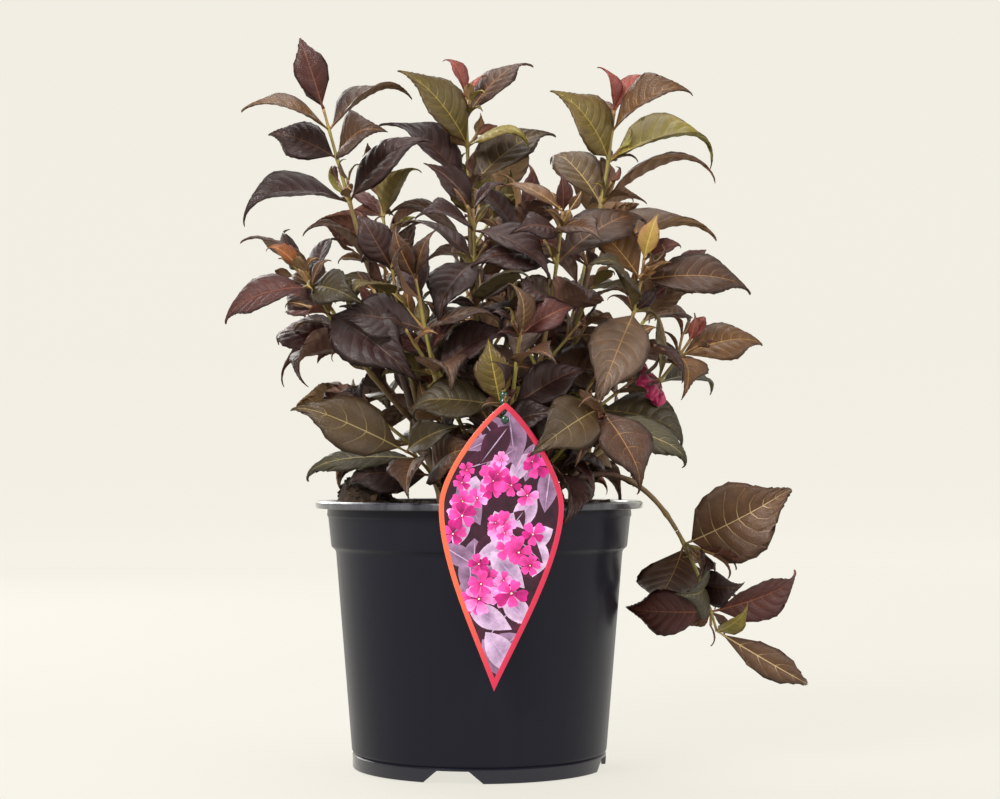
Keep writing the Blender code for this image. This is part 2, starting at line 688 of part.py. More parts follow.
def bough_shape(limb, line, grow=0.0):
    """Vertices and faces of the bare lower stretch of a limb, which flares where it meets the compost."""
    split = bough_split(limb)
    rooted = not isinstance(limb.root[0], str)
    rings = max(3, round((line.length - split) / (BOUGH_RING_SPACING * MM)) + 1)
    places = [line.length + (split - line.length) * i / (rings - 1) for i in range(rings)]
    if rooted:
        places.insert(1, line.length - FLARE_HEIGHT * MM)
    points = [line.at(place)[0] for place in places]
    radii = [limb_radius(place) + grow for place in places]
    if rooted:
        radii[0] *= FOOT_FLARE
    return tube(points, radii, ROOTED_SIDES if rooted else FORKED_SIDES, flat_foot=rooted)


def twig_shape(line, far, near, sides, grow=0.0):
    """Vertices and faces of a shoot's twig between two distances from its tip."""
    count = max(2, round((far - near) / (TWIG_RING_SPACING * MM)) + 1)
    places = [far + (near - far) * i / (count - 1) for i in range(count)]
    points = [line.at(place)[0] for place in places]
    radii = [limb_radius(place) + grow for place in places]
    return tube(points, radii, sides)


def side_line(shoot, pair, side, chance):
    """The line of a short shoot that grows from the axil of a leaf."""
    point, axis, out = shoot.leaf_base(pair, side)
    length = chance.uniform(*SIDE_TWIG_LENGTH) * MM
    way = (SIDE_TWIG_OUT * (axis + out) + SIDE_TWIG_UP * UP).normalized()
    return Line(point, (0, 0), point + way * length)


def grow_side_shoots(limb, shoot, crowd):
    """Short shoots from the lowest axils, kept where their twig touches nothing."""
    made = []
    chance = random.Random(limb.name + " sides")
    tries = [(pair, side) for pair in range(limb.pairs - 1, 1, -1) for side in (0, 1)]
    for pair, side in tries:
        if len(made) == limb.sides:
            break
        line = side_line(shoot, pair, side, chance)
        whole = twig_shape(line, line.length, 0.0, SIDE_TWIG_SIDES, grow=CLEARANCE * MM)
        clear_from = line.length - SIDE_TWIG_ROOT * MM
        rootless = twig_shape(line, clear_from, 0.0, SIDE_TWIG_SIDES, grow=CLEARANCE * MM)
        if not crowd.add_if_clear(limb.name, whole, rootless):
            continue
        name = f"{limb.name} side {pair} {side}"
        leaf = limb.leaf * SIDE_SHOOT_LEAF
        heading = chance.uniform(0, 360)
        made.append(Shoot(name, limb.name, line, 2, leaf, heading, small=True))
    return made


def bud_shapes(shoot, grow=0.0):
    """Closed tubular buds that droop from one node of the shoot."""
    point, _ = shoot.line.at(shoot.places[BUD_NODE])
    made = []
    for heading, rise in BUD_HEADINGS:
        level = math.cos(math.radians(rise))
        way = Vector((
            math.cos(math.radians(heading)) * level,
            math.sin(math.radians(heading)) * level,
            math.sin(math.radians(rise)),
        ))
        points = [point + way * BUD_LENGTH * MM * share for share, _ in BUD_STATIONS]
        radii = [BUD_RADIUS * MM * thick + grow for _, thick in BUD_STATIONS]
        made.append(tube(points, radii, BUD_SIDES))
    return made


def join_mass(name, stem, pieces, finish):
    """One closed body: the stem with its twigs, leaves and buds fused on."""
    body = new_object(name, *stem, finish)
    group = bpy.data.collections.new(name + "_pieces")
    bpy.context.scene.collection.children.link(group)
    for number, shape in enumerate(pieces):
        piece = new_object(f"{name}_piece_{number}", *shape, finish)
        bpy.context.scene.collection.objects.unlink(piece)
        group.objects.link(piece)
    union = body.modifiers.new("union", "BOOLEAN")
    union.operation = "UNION"
    union.operand_type = "COLLECTION"
    union.collection = group
    union.solver = "MANIFOLD"
    joined = bpy.data.meshes.new_from_object(
        body.evaluated_get(bpy.context.evaluated_depsgraph_get())
    )
    body.modifiers.clear()
    body.data = joined
    for piece in list(group.objects):
        bpy.data.objects.remove(piece, do_unlink=True)
    bpy.data.collections.remove(group)
    keep_largest_body(joined)
    return body


def keep_largest_body(mesh):
    """Drops any scrap that the union left loose."""
    work = bmesh.new()
    work.from_mesh(mesh)
    unseen = set(work.verts)
    bodies = []
    while unseen:
        body = {unseen.pop()}
        edge = list(body)
        while edge:
            vertex = edge.pop()
            for link in vertex.link_edges:
                other = link.other_vert(vertex)
                if other in unseen:
                    unseen.remove(other)
                    body.add(other)
                    edge.append(other)
        bodies.append(body)
    bodies.sort(key=len)
    for body in bodies[:-1]:
        bmesh.ops.delete(work, geom=list(body), context="VERTS")
    bmesh.ops.triangulate(work, faces=work.faces)
    work.to_mesh(mesh)
    work.free()


def main_shoots():
    """Each limb's leafy shoot, on the limb's own line, by name."""
    lines = {}
    shoots = {}
    for limb in LIMBS:
        line = limb_line(limb, lines)
        lines[limb.name] = line
        shoots[limb.name] = Shoot(limb.name, limb.name, line, limb.pairs, limb.leaf, limb.heading)
    return shoots


def stem_shape(limb, line, grow=0.0):
    """The twig that carries a mass, from just off its bough's tip to the growing tip."""
    return twig_shape(line, bough_split(limb) - GAP, 0.0, TWIG_SIDES, grow)


def crowd_with_stems(shoots, obstacles):
    """The crowd as it is before any leaf: pot, compost, label, tie, boughs, stems and buds."""
    crowd = Crowd()
    for shape in obstacles:
        crowd.add_if_clear("pot", shape, always=True)
    for limb in LIMBS:
        line = shoots[limb.name].line
        crowd.add_if_clear(limb.name, bough_shape(limb, line, CLEARANCE * MM), always=True)
        crowd.add_if_clear(limb.name, stem_shape(limb, line, CLEARANCE * MM), always=True)
    for bud in bud_shapes(shoots[BUD_LIMB], CLEARANCE * MM):
        crowd.add_if_clear(BUD_LIMB, bud, always=True)
    return crowd


def grow_leaves(shoots, crowd):
    """Places every leaf, the plainest first, and returns the side shoots of each limb."""
    for seen in SEEN_LEAVES:
        place_leaf(shoots[seen.limb], seen.pair, seen.side, crowd, seen)
    twigs = {limb.name: grow_side_shoots(limb, shoots[limb.name], crowd) for limb in LIMBS}
    taken = {(seen.limb, seen.pair, seen.side) for seen in SEEN_LEAVES}
    for limb in LIMBS:
        for shoot in [shoots[limb.name]] + twigs[limb.name]:
            for pair in range(len(shoot.places)):
                for side in (0, 1):
                    if (shoot.name, pair, side) not in taken:
                        place_leaf(shoot, pair, side, crowd)
    return twigs


def grow_plant(bark, leaf_finish, obstacles):
    """Every bough, and every mass of foliage at a bough's tip."""
    shoots = main_shoots()
    twigs = grow_leaves(shoots, crowd_with_stems(shoots, obstacles))
    for limb in LIMBS:
        shoot = shoots[limb.name]
        new_object("bough_" + limb.name, *bough_shape(limb, shoot.line), bark)
        pieces = [leaf_shape(leaf) for leaf in shoot.leaves.values()]
        for twig in twigs[limb.name]:
            pieces.append(twig_shape(twig.line, twig.line.length, 0.0, SIDE_TWIG_SIDES))
            pieces += [leaf_shape(leaf) for leaf in twig.leaves.values()]
        if limb.name == BUD_LIMB:
            pieces += bud_shapes(shoot)
        join_mass("foliage_" + limb.name, stem_shape(limb, shoot.line), pieces, leaf_finish)


def shape_of(obj):
    """Vertices and faces of an object as it is seen, with its cuts."""
    mesh = obj.evaluated_get(bpy.context.evaluated_depsgraph_get()).data
    return [v.co.copy() for v in mesh.vertices], [tuple(p.vertices) for p in mesh.polygons]


def main():
    clear_scene()
    plastic = material("black_plastic", POT_COLOUR, 0.42)
    peat = material("compost", COMPOST_COLOUR, 0.95)
    card = material("label_card", LABEL_COLOUR, 0.35)
    green = material("green_plastic", LABEL_GREEN, 0.3)
    bark = material("bark", BARK_COLOUR, 0.7)
    foliage = material("leaves", LEAF_COLOUR, 0.5)
    solid = [make_pot(plastic), make_compost(peat), make_label(card), make_tie(green)]
    grow_plant(bark, foliage, [shape_of(obj) for obj in solid])


main()
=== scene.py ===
"""The looks of a young weigela with dark leaves in its black nursery pot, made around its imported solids.

Metres, +Z up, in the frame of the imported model. The plant is grown again here by the same seeded rule as
its solids, and each leaf, twig and stem is then made in its own full shape.
"""

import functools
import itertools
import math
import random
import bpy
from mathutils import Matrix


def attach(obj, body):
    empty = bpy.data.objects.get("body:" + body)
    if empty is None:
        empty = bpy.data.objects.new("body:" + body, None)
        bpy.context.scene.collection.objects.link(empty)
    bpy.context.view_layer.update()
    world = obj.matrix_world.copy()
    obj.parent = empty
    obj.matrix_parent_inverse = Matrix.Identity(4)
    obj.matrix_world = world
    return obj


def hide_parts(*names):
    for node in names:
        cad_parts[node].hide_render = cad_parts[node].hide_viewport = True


bl_info = {
    "name": "Potted weigela",
    "version": (1, 0, 0),
    "blender": (4, 5, 0),
    "location": "3D View > Sidebar > Weigela",
    "description": "Makes the leaves, stems, pot, compost and label of a young potted weigela",
    "category": "Object",
}

from collections import namedtuple

import bmesh
import bpy
import numpy as np
from bpy.props import FloatProperty, FloatVectorProperty, IntProperty, PointerProperty
from mathutils import Matrix, Vector, noise
from mathutils.bvhtree import BVHTree

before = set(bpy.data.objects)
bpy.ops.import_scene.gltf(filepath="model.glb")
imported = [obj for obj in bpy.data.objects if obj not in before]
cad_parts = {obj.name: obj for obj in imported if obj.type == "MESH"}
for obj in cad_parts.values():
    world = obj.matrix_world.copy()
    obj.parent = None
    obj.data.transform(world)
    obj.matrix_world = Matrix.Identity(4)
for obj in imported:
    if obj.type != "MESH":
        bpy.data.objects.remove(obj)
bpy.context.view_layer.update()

MM = 0.001
GAP = 0.3 * MM
CLOSE = 0.001 * MM
UP = Vector((0.0, 0.0, 1.0))
VIEWER = Vector((0.0, -1.0, 0.0))
# The way towards which the first corner of each ring of a limb lies
LIMB_FIRST = Vector((1.0, 0.35, 0.2))
BODY = "root"

# Pot, in millimetres and degrees. Its section goes from the middle of the underside, with a central pad
# and a foot ring, up the wall, the step and the collar, over the lip and down the inside to the floor.
RIM_RADIUS = 95.0
POT_HEIGHT = 154.0
POT_OUTSIDE = (
    (0, 0), (16, 0), (17, 7.4), (70, 7.4),
    (71.3, 0), (73.5, 0), (73.5, 7.6), (72.7, 8.4),
    (73.9, 9.8), (83.2, 125.6), (85.8, 127.2), (87.6, 144.2), (88.3, 145.4), (88, 149.5),
    (94.4, 149.5), (RIM_RADIUS, 150.7), (RIM_RADIUS, 152.8), (93.8, POT_HEIGHT), (90, 153.4),
)
POT_INSIDE = ((86.3, 145.4), (84.5, 127.2), (81.9, 124.3), (72.6, 11.3), (71.1, 8.7), (0, 8.7))
NOTCH_COUNT = 4
NOTCH_FIRST = -101.0
NOTCH_FOOT_WIDTH = 34.0
NOTCH_TOP_WIDTH = 18.0
NOTCH_HEIGHT = 6.8
NOTCH_REACH = (66.5, 77.5)
NOTCH_BELOW = -2.0

# Compost, in millimetres
COMPOST_LEVEL = 148.0
PLATEAU = 46.0
PLATEAU_SLOPE = 12.0

# Label, in millimetres
LABEL_APEX = (15.0, 208.0)
LABEL_LENGTH = 155.0
LABEL_HALF_WIDTH = 33.5
LABEL_WIDEST = 56.0
LABEL_THICKNESS = 0.8
LABEL_LEAN = 2.3
LABEL_HOLE_DROP = 9.0
LABEL_HOLE_RADIUS = 3.7
LABEL_SHOULDER = ((0, 0), (14, 10), (LABEL_HALF_WIDTH, 40), (LABEL_HALF_WIDTH, LABEL_WIDEST))
LABEL_FLANK = (LABEL_SHOULDER[-1], (LABEL_HALF_WIDTH, 86), (11, 128), (0, LABEL_LENGTH))
LABEL_Y = -RIM_RADIUS - 0.3 - LABEL_THICKNESS / 2
TIE_RADIUS = 0.8
TIE_BACK = 14.5
TIE_HALF_WIDTH = 3.3
TIE_NARROWING = 0.4
TIE_FALL = 0.12
TIE_FRONT = 1.9

# Stems and shoots, in millimetres and degrees
FOOT_FLARE = 1.4
FLARE_HEIGHT = 9.0
TIP_RADIUS = 0.75
STEM_THICKENING = 0.0085
LINE_STEPS = 40
LEAST_SLANT = 0.3
BOUGH_RING_SPACING = 24.0
ROOTED_SIDES = 7
FORKED_SIDES = 5
TWIG_RING_SPACING = 34.0
TWIG_SIDES = 4
SIDE_TWIG_SIDES = 3
SIDE_TWIG_LENGTH = (26.0, 40.0)
SIDE_TWIG_ROOT = 7.0
SIDE_TWIG_OUT = 0.75
SIDE_TWIG_UP = 0.35
FIRST_INTERNODE = 12.0
INTERNODE_GROWTH = 1.45
LONGEST_INTERNODE = 36.0
STALK_BELOW_LEAVES = 9.0
OPENING = (16.0, 34.0, 50.0, 62.0, 72.0, 80.0, 88.0, 94.0)
DROOP = (4.0, 8.0, 12.0, 16.0, 22.0, 28.0, 34.0, 40.0)
LENGTH_BY_AGE = (0.6, 0.76, 0.92, 1.0, 1.0, 0.95, 0.9, 0.85)
LEAF_BREADTH = 0.43
YOUNG_BREADTH = 0.82
LEAF_THICKNESS = 1.0
LEAF_FOLD = 8.0
ARCH = 26.0
HOOK = 40.0
ARCH_REACH = 0.36
HOOK_REACH = 0.3
CURVE_LENGTH = 1.05
CURVE_NEAR = 0.02
SIDE_SHOOT_LEAF = 0.62
SKYWARD_FACE = 0.7
OUTWARD_FACE = 1.2
ROOT_OUT = 0.35
CLEARANCE = 0.45 * MM

# How far one leaf may stray from its shoot's rule, in degrees, or as shares of its length
OPENING_STRAY = 7.0
TURN_STRAY = 12.0
DROOP_STRAY = 6.0
ROLL_STRAY = 22.0
LENGTH_STRAY = (0.88, 1.08)

# What a leaf that would touch another tries next: each step turns it, opens it, shortens it, or
# moves the tip of a leaf whose tip is known, in degrees, as a share and in millimetres
TURN_STEP = 26.0
OPENING_STEP = 16.0
SHORTENING_STEP = 0.12
TIP_STEP = 4.0
CHANGES = [Vector((0, 0, 0))] + [
    Vector((x, y, z)) for y in (0, 1, 2) for z in (0, -1, 1) for x in (1, -1, 2, -2)
]

# Stations along a leaf: place, breadth and thickness as shares of the widest
LEAF_STATIONS = ((0.0, 0.06, 1.0), (0.16, 0.56, 1.0), (0.42, 1.0, 0.9), (0.74, 0.6, 0.8))
YOUNG_STATIONS = ((0.0, 0.09, 0.9), (0.38, 1.0, 0.9), (0.74, 0.62, 0.8))
CLEAR_STATION = (0.14, 0.42, 1.0)

# A limb starts at a place on the compost, or at a height on another limb, and ends at its growing tip.
# Its middle stands out from the plant's axis, and up, by the two figures of bow.
Limb = namedtuple("Limb", "name root tip bow pairs leaf heading sides")
LIMBS = (
    Limb("upper_left", (-19, -8), (-89, -20, 378), (2, 0), 6, 64, 200, 1),
    Limb("middle", (1, 8), (-8, 15, 391), (2, 0), 6, 64, 200, 3),
    Limb("upper_right", (19, 4), (78, -10, 379), (9, 0), 6, 64, 200, 1),
    Limb("front_centre", (2, -17), (-3, -45, 318), (2, 0), 5, 58, 160, 2),
    Limb("centre_right", (14, -14), (47, -50, 316), (6, 0), 5, 60, 200, 2),
    Limb("right", (25, -8), (93, -40, 290), (14, 0), 5, 64, 200, 1),
    Limb("far_right", (32, 1), (121, -15, 246), (6, 0), 5, 56, 220, 2),
    Limb("low_right", (30, 11), (139, 8, 77), (8, 50), 4, 62, 200, 2),
    Limb("front_right", (18, -27), (66, -80, 205), (4, 4), 4, 58, 200, 1),
    Limb("front_low", (3, -30), (14, -88, 215), (2, 4), 3, 50, 190, 0),
    Limb("low_left", (-16, -22), (-40, -60, 182), (0, 6), 3, 66, 160, 1),
    Limb("front_left", (-8, -30), (-34, -76, 276), (2, 0), 4, 56, 150, 1),
    Limb("front_middle", (10, -33), (24, -84, 256), (2, 0), 5, 56, 130, 1),
    Limb("back_left", (-14, 18), (-62, 72, 338), (6, 0), 6, 62, 30, 2),
    Limb("back_middle", (3, 24), (8, 88, 352), (6, 0), 6, 62, 70, 2),
    Limb("back_right", (19, 19), (72, 74, 334), (6, 0), 6, 62, 120, 2),
    Limb("far_left", ("upper_left", 192), (-98, -60, 283), (0, -6), 4, 62, 200, 1),
    Limb("inner_left", ("upper_left", 182), (-50, -48, 296), (0, -6), 4, 50, 45, 2),
    Limb("inner_right", ("middle", 182), (22, -4, 318), (6, 0), 5, 60, 20, 2),
    Limb("inner_low_right", ("centre_right", 164), (70, -34, 232), (4, 0), 4, 54, 45, 1),
    Limb("sprout_left", ("front_centre", 172), (-30, -64, 248), (0, -4), 4, 40, 45, 0),
    Limb("back_far_left", ("back_left", 184), (-104, 40, 292), (0, -6), 5, 60, 100, 1),
    Limb("back_far_right", ("back_right", 184), (116, 52, 286), (0, -6), 5, 60, 60, 1),
    Limb("back_low_left", ("back_left", 166), (-82, 66, 214), (0, 4), 4, 58, 100, 1),
    Limb("back_low", ("back_middle", 168), (10, 112, 226), (0, 4), 4, 58, 10, 1),
    Limb("back_low_right", ("back_right", 166), (88, 72, 206), (0, 4), 4, 58, 60, 1),
)

# Leaves that stand out plainly, by limb: pair counted from the tip, side, place of the leaf's tip, how far
# its face is turned towards the label's side, and its tint where that is plain.
Seen = namedtuple("Seen", "limb pair side tip face tint", defaults=[None])
SEEN_LEAVES = tuple(Seen(limb, *leaf) for limb, leaves in {
    "upper_left": (
        (0, 0, (-104, -24, 421), 2.0, "wine"), (1, 0, (-135, -40, 376), 1.0, "bronze"),
        (1, 1, (-39, 0, 395), 0.8, "brown"), (2, 0, (-124, -5, 366), 2.5, "plum"),
        (2, 1, (-53, -50, 364), 2.5, "brown"), (3, 0, (-140, -40, 317), 1.2, "plum"),
        (3, 1, (-26, -25, 365), 2.0, "plum"), (4, 0, (-99, -50, 310), 1.2, "brown"),
        (4, 1, (-55, -62, 305), 3.0, "plum"),
    ),
    "middle": (
        (0, 0, (-21, 10, 416), 0.8, "blush"), (0, 1, (0, 20, 410), 0.8, "blush"),
        (1, 0, (-33, 40, 397), 0.6, "olive"), (1, 1, (32, 30, 416), 1.0, "brown"),
        (2, 0, (-47, -10, 404), 2.5, "olive"), (2, 1, (32, -10, 366), 1.0, "green"),
        (3, 0, (-60, 15, 378), 1.2, "plum"), (3, 1, (47, 35, 374), 1.2, "khaki"),
        (4, 0, (-53, -5, 328), 0.6, "brown"),
    ),
    "upper_right": (
        (0, 0, (70, -14, 406), 0.8, "blush"), (0, 1, (93, 0, 403), 0.8, "blush"),
        (1, 0, (61, 10, 386), 0.8, "bronze"), (1, 1, (115, -30, 391), 1.4, "bronze"),
        (2, 0, (41, -35, 388), 2.5, "olive"), (2, 1, (146, 10, 363), 0.8, "green"),
        (3, 0, (39, 20, 361), 1.6, "khaki"), (3, 1, (139, -30, 348), 0.6, "brown"),
        (4, 1, (142, 10, 313), 0.6, "bronze"),
    ),
    "front_centre": (
        (0, 0, (-31, -60, 342), 2.5, "plum"), (0, 1, (15, -56, 333), 2.0, "plum"),
        (1, 0, (-35, -78, 312), 2.5, "plum"), (1, 1, (41, -62, 278), 0.9, "plum"),
        (2, 0, (-26, -75, 251), 1.5, "plum"),
    ),
    "centre_right": (
        (0, 0, (11, -40, 332), 1.0, "bronze"), (0, 1, (46, -56, 338), 2.0, "wine"),
        (1, 0, (18, -74, 302), 2.0, "plum"), (1, 1, (68, -84, 296), 1.6, "brown"),
        (2, 0, (-7, -60, 285), 1.0, "plum"), (2, 1, (101, -20, 318), 0.9, "brown"),
        (3, 0, (24, -95, 262), 1.5, "plum"),
    ),
    "right": (
        (0, 0, (101, -44, 317), 2.0, "gold"), (0, 1, (117, -38, 299), 1.3, "wine"),
        (1, 0, (53, -30, 318), 2.0, "bronze"), (1, 1, (157, -30, 273), 2.0, "brown"),
        (2, 0, (63, -70, 202), 3.0, "mauve"),
    ),
    "far_right": (
        (0, 0, (124, -18, 262), 0.8, "blush"), (0, 1, (136, -10, 262), 0.8, "blush"),
        (1, 0, (117, -60, 214), 2.5, "bronze"), (1, 1, (167, 0, 245), 1.1, "bronze"),
    ),
    "low_right": (
        (0, 0, (157, -12, 94), 1.2, "green"), (0, 1, (202, 20, 41), 1.3, "russet"),
        (1, 0, (84, 22, 90), 2.0, "wine"), (1, 1, (192, 25, 110), 1.0, "wine"),
        (2, 0, (115, -36, 99), 2.5, "grey"), (2, 1, (146, -20, 108), 1.5, "plum"),
        (3, 0, (103, 45, 92), 1.5, "brown"), (3, 1, (186, -15, 166), 3.0, "russet"),
    ),
    "front_right": (
        (0, 0, (27, -112, 178), 2.5, "khaki"), (0, 1, (91, -100, 158), 2.5, "brown"),
        (1, 1, (123, -62, 172), 1.0, "grey"),
    ),
    "front_low": (
        (1, 0, (-44, -72, 206), 1.5, "moss"),
    ),
    "low_left": (
        (0, 0, (-106, -80, 210), 2.5, "khaki"), (0, 1, (-8, -82, 196), 1.5, "moss"),
        (1, 0, (-105, -22, 166), 0.5, "grey"), (1, 1, (-47, -92, 161), 1.5, "brown"),
    ),
    "far_left": (
        (0, 0, (-117, -66, 297), 2.0, "orange"), (1, 0, (-145, -40, 254), 0.7, "wine"),
        (1, 1, (-63, -86, 262), 3.0, "moss"), (2, 0, (-112, -22, 271), 1.0, "wine"),
        (2, 1, (-32, -78, 219), 2.5, "plum"),
    ),
    "back_far_left": (
        (1, 0, (-137, 10, 310), 0.5, "brown"),
    ),
}.items() for leaf in leaves)

BUD_LIMB = "far_right"
BUD_NODE = 2
BUD_LENGTH = 20.0
BUD_RADIUS = 2.6
BUD_SIDES = 5
BUD_STATIONS = ((0.0, 0.3), (0.45, 0.4), (0.8, 1.0), (1.0, 0.35))
BUD_HEADINGS = ((200, 20), (228, -6), (176, -18), (250, -30))

Leaf = namedtuple("Leaf", "base first second tip side_axis length breadth young")


def turned(profile, segments):
    """Vertices and faces of a closed shape turned about Z; the profile starts and ends on the axis."""
    vertices = [Vector((0, 0, profile[0][1])) * MM]
    for radius, height in profile[1:-1]:
        for step in range(segments):
            angle = 2 * math.pi * step / segments
            vertices.append(Vector((radius * math.cos(angle), radius * math.sin(angle), height)) * MM)
    vertices.append(Vector((0, 0, profile[-1][1])) * MM)
    faces = []
    rings = len(profile) - 2
    for step in range(segments):
        after = (step + 1) % segments
        faces.append((0, 1 + after, 1 + step))
        for ring in range(rings - 1):
            low = 1 + ring * segments
            high = low + segments
            faces.append((low + step, low + after, high + after, high + step))
        last = 1 + (rings - 1) * segments
        faces.append((last + step, last + after, len(vertices) - 1))
    return vertices, faces


def bezier(points, share):
    """A point on the curve that the given control points shape."""
    while len(points) > 1:
        points = [a.lerp(b, share) for a, b in zip(points, points[1:])]
    return points[0]


def label_place(across, down, proud=0.0):
    """The place in space of a point of the label, which leans about its apex."""
    lean = math.radians(LABEL_LEAN)
    x = LABEL_APEX[0] + across * math.cos(lean) - down * math.sin(lean)
    z = LABEL_APEX[1] - down * math.cos(lean) - across * math.sin(lean)
    return Vector((x, LABEL_Y + proud, z)) * MM


def heading_way(heading, rise=0.0):
    """A direction by its compass heading and its rise, in degrees."""
    heading, rise = math.radians(heading), math.radians(rise)
    level = math.cos(rise)
    return Vector((math.cos(heading) * level, math.sin(heading) * level, math.sin(rise)))


def squared(way, direction):
    """The part of a way that is square to a direction, at length one."""
    return (way - way.dot(direction) * direction).normalized()


def ring_about(centre, direction, radius, sides, first):
    """The corners of one ring of a tube, square to its direction."""
    across = squared(first, direction)
    return ring_points(centre, across, direction.cross(across), [radius] * sides)


def ring_points(centre, across, other, radii):
    """Points once round a centre, each at its own radius."""
    turn = 2 * math.pi / len(radii)
    return [centre + radius * (math.cos(turn * i) * across + math.sin(turn * i) * other)
            for i, radius in enumerate(radii)]


def band_faces(rings, size, loop=False):
    """Faces between rings of points, which close on the first ring in a loop."""
    faces = []
    for ring in range(rings if loop else rings - 1):
        low, high = ring * size, (ring + 1) % rings * size
        faces += [[low + i, low + (i + 1) % size, high + (i + 1) % size, high + i] for i in range(size)]
    return faces


def ring_faces(rings, size):
    """Faces that join rings of points into a tube, and its two ends."""
    ends = [list(range(size))[::-1], [(rings - 1) * size + i for i in range(size)]]
    return band_faces(rings, size) + ends


def tube(points, radii, sides, flat_foot=False):
    """Vertices and faces of a closed round limb along a path."""
    vertices = []
    for index, (point, radius) in enumerate(zip(points, radii)):
        direction = (points[min(index + 1, len(points) - 1)] - points[max(index - 1, 0)]).normalized()
        if flat_foot and index == 0:
            direction = UP
        vertices += ring_about(point, direction, radius, sides, LIMB_FIRST)
    return vertices, ring_faces(len(points), sides)


class Line:
    """A limb's centre line, with places on it given by the distance from its tip."""

    def __init__(self, start, bow, end):
        middle = (start + end) / 2
        outward = Vector((middle.x, middle.y, 0)).normalized()
        knee = middle + 2 * (bow[0] * outward + bow[1] * UP) * MM
        shares = [i / LINE_STEPS for i in range(LINE_STEPS + 1)]
        self.points = [bezier([start, knee, end], share) for share in shares]
        self.lengths = [0.0]
        for a, b in zip(self.points, self.points[1:]):
            self.lengths.append(self.lengths[-1] + (b - a).length)
        self.length = self.lengths[-1]

    def at(self, from_tip):
        """The place on the line this far from its tip, and the way the line goes there."""
        along = min(max(self.length - from_tip, 0.0), self.length - 1e-9)
        index = max(i for i, length in enumerate(self.lengths[:-1]) if length <= along)
        start, end = self.points[index], self.points[index + 1]
        share = (along - self.lengths[index]) / (self.lengths[index + 1] - self.lengths[index])
        return start.lerp(end, share), (end - start).normalized()

    def at_height(self, height):
        """The distance from the tip where the line first comes to this height."""
        for point, length in zip(self.points, self.lengths):
            if point.z >= height:
                return self.length - length
        raise ValueError("the line stays below this height")


def limb_radius(from_tip):
    """The radius of a limb at a distance from its tip."""
    return (TIP_RADIUS + STEM_THICKENING * from_tip / MM) * MM


def internodes(pairs):
    """The distances of the leaf pairs from the shoot's tip."""
    places = [0.0]
    step = FIRST_INTERNODE
    while len(places) < pairs:
        places.append(places[-1] + min(step, LONGEST_INTERNODE) * MM)
        step *= INTERNODE_GROWTH
    return places


def is_rooted(limb):
    """Whether a limb rises from the compost, and not from another limb."""
    return not isinstance(limb.root[0], str)


def limb_line(limb, lines):
    """The limb's centre line: from the compost, or from just off the side of the limb it forks from."""
    end = Vector(limb.tip) * MM
    if not is_rooted(limb):
        parent = lines[limb.root[0]]
        from_tip = parent.at_height(limb.root[1] * MM)
        centre, along = parent.at(from_tip)
        outward = (end - centre).normalized()
        square = squared(outward, along)
        own = limb_radius((end - centre).length)
        off = limb_radius(from_tip) + own * abs(outward.dot(along)) + GAP
        start = centre + square * off
        start += along * off * outward.dot(along) / max(outward.dot(square), LEAST_SLANT)
    else:
        start = Vector((limb.root[0], limb.root[1], COMPOST_LEVEL)) * MM + GAP * UP
    return Line(start, limb.bow, end)


def leaf_of(base, axis, chord, face, length, roll, young):
    """A leaf as a curve from its base to its tip, with the axis across its blade."""
    toward = chord.normalized()
    side = toward.cross(squared(axis + SKYWARD_FACE * UP + face, toward))
    side.rotate(Matrix.Rotation(math.radians(roll), 3, toward))
    arch = Matrix.Rotation(math.radians(ARCH), 3, side)
    hook = Matrix.Rotation(math.radians(-HOOK), 3, side)
    first = base + arch @ toward * chord.length * ARCH_REACH
    second = base + chord - hook @ toward * chord.length * HOOK_REACH
    breadth = length * LEAF_BREADTH * (YOUNG_BREADTH if young else 1.0)
    return Leaf(base, first, second, base + chord, side, length, breadth, young)


def leaf_room(leaf, skip_root):
    """Vertices and faces of a leaf's room: a thin keeled blade, ending in a point, and its clearance."""
    stations = YOUNG_STATIONS if leaf.young else LEAF_STATIONS
    if skip_root:
        stations = (CLEAR_STATION,) + stations[1 if leaf.young else 2:]
    curve = [leaf.base, leaf.first, leaf.second, leaf.tip]
    fold = math.radians(LEAF_FOLD)
    vertices = []
    for place, breadth, thickness in stations:
        centre = bezier(curve, place)
        along = (bezier(curve, place + CURVE_NEAR) - bezier(curve, place - CURVE_NEAR)).normalized()
        across = squared(leaf.side_axis, along)
        normal = across.cross(along)
        half = leaf.breadth * breadth / 2 + CLEARANCE
        thick = LEAF_THICKNESS * MM * thickness
        lift = normal * (half * math.sin(fold) + CLEARANCE)
        reach = across * half * math.cos(fold)
        keel = centre - normal * (max(thick - half * math.sin(fold), 0.0) + CLEARANCE)
        vertices += [centre - reach + lift, keel, centre + reach + lift, centre + normal * 2 * CLEARANCE]
    vertices.append(leaf.tip + (leaf.tip - leaf.second).normalized() * CLEARANCE)
    last = 4 * len(stations) - 4
    faces = [[0, 1, 2, 3]] + band_faces(len(stations), 4)
    return vertices, faces + [[last + i, last + (i + 1) % 4, last + 4] for i in range(4)]


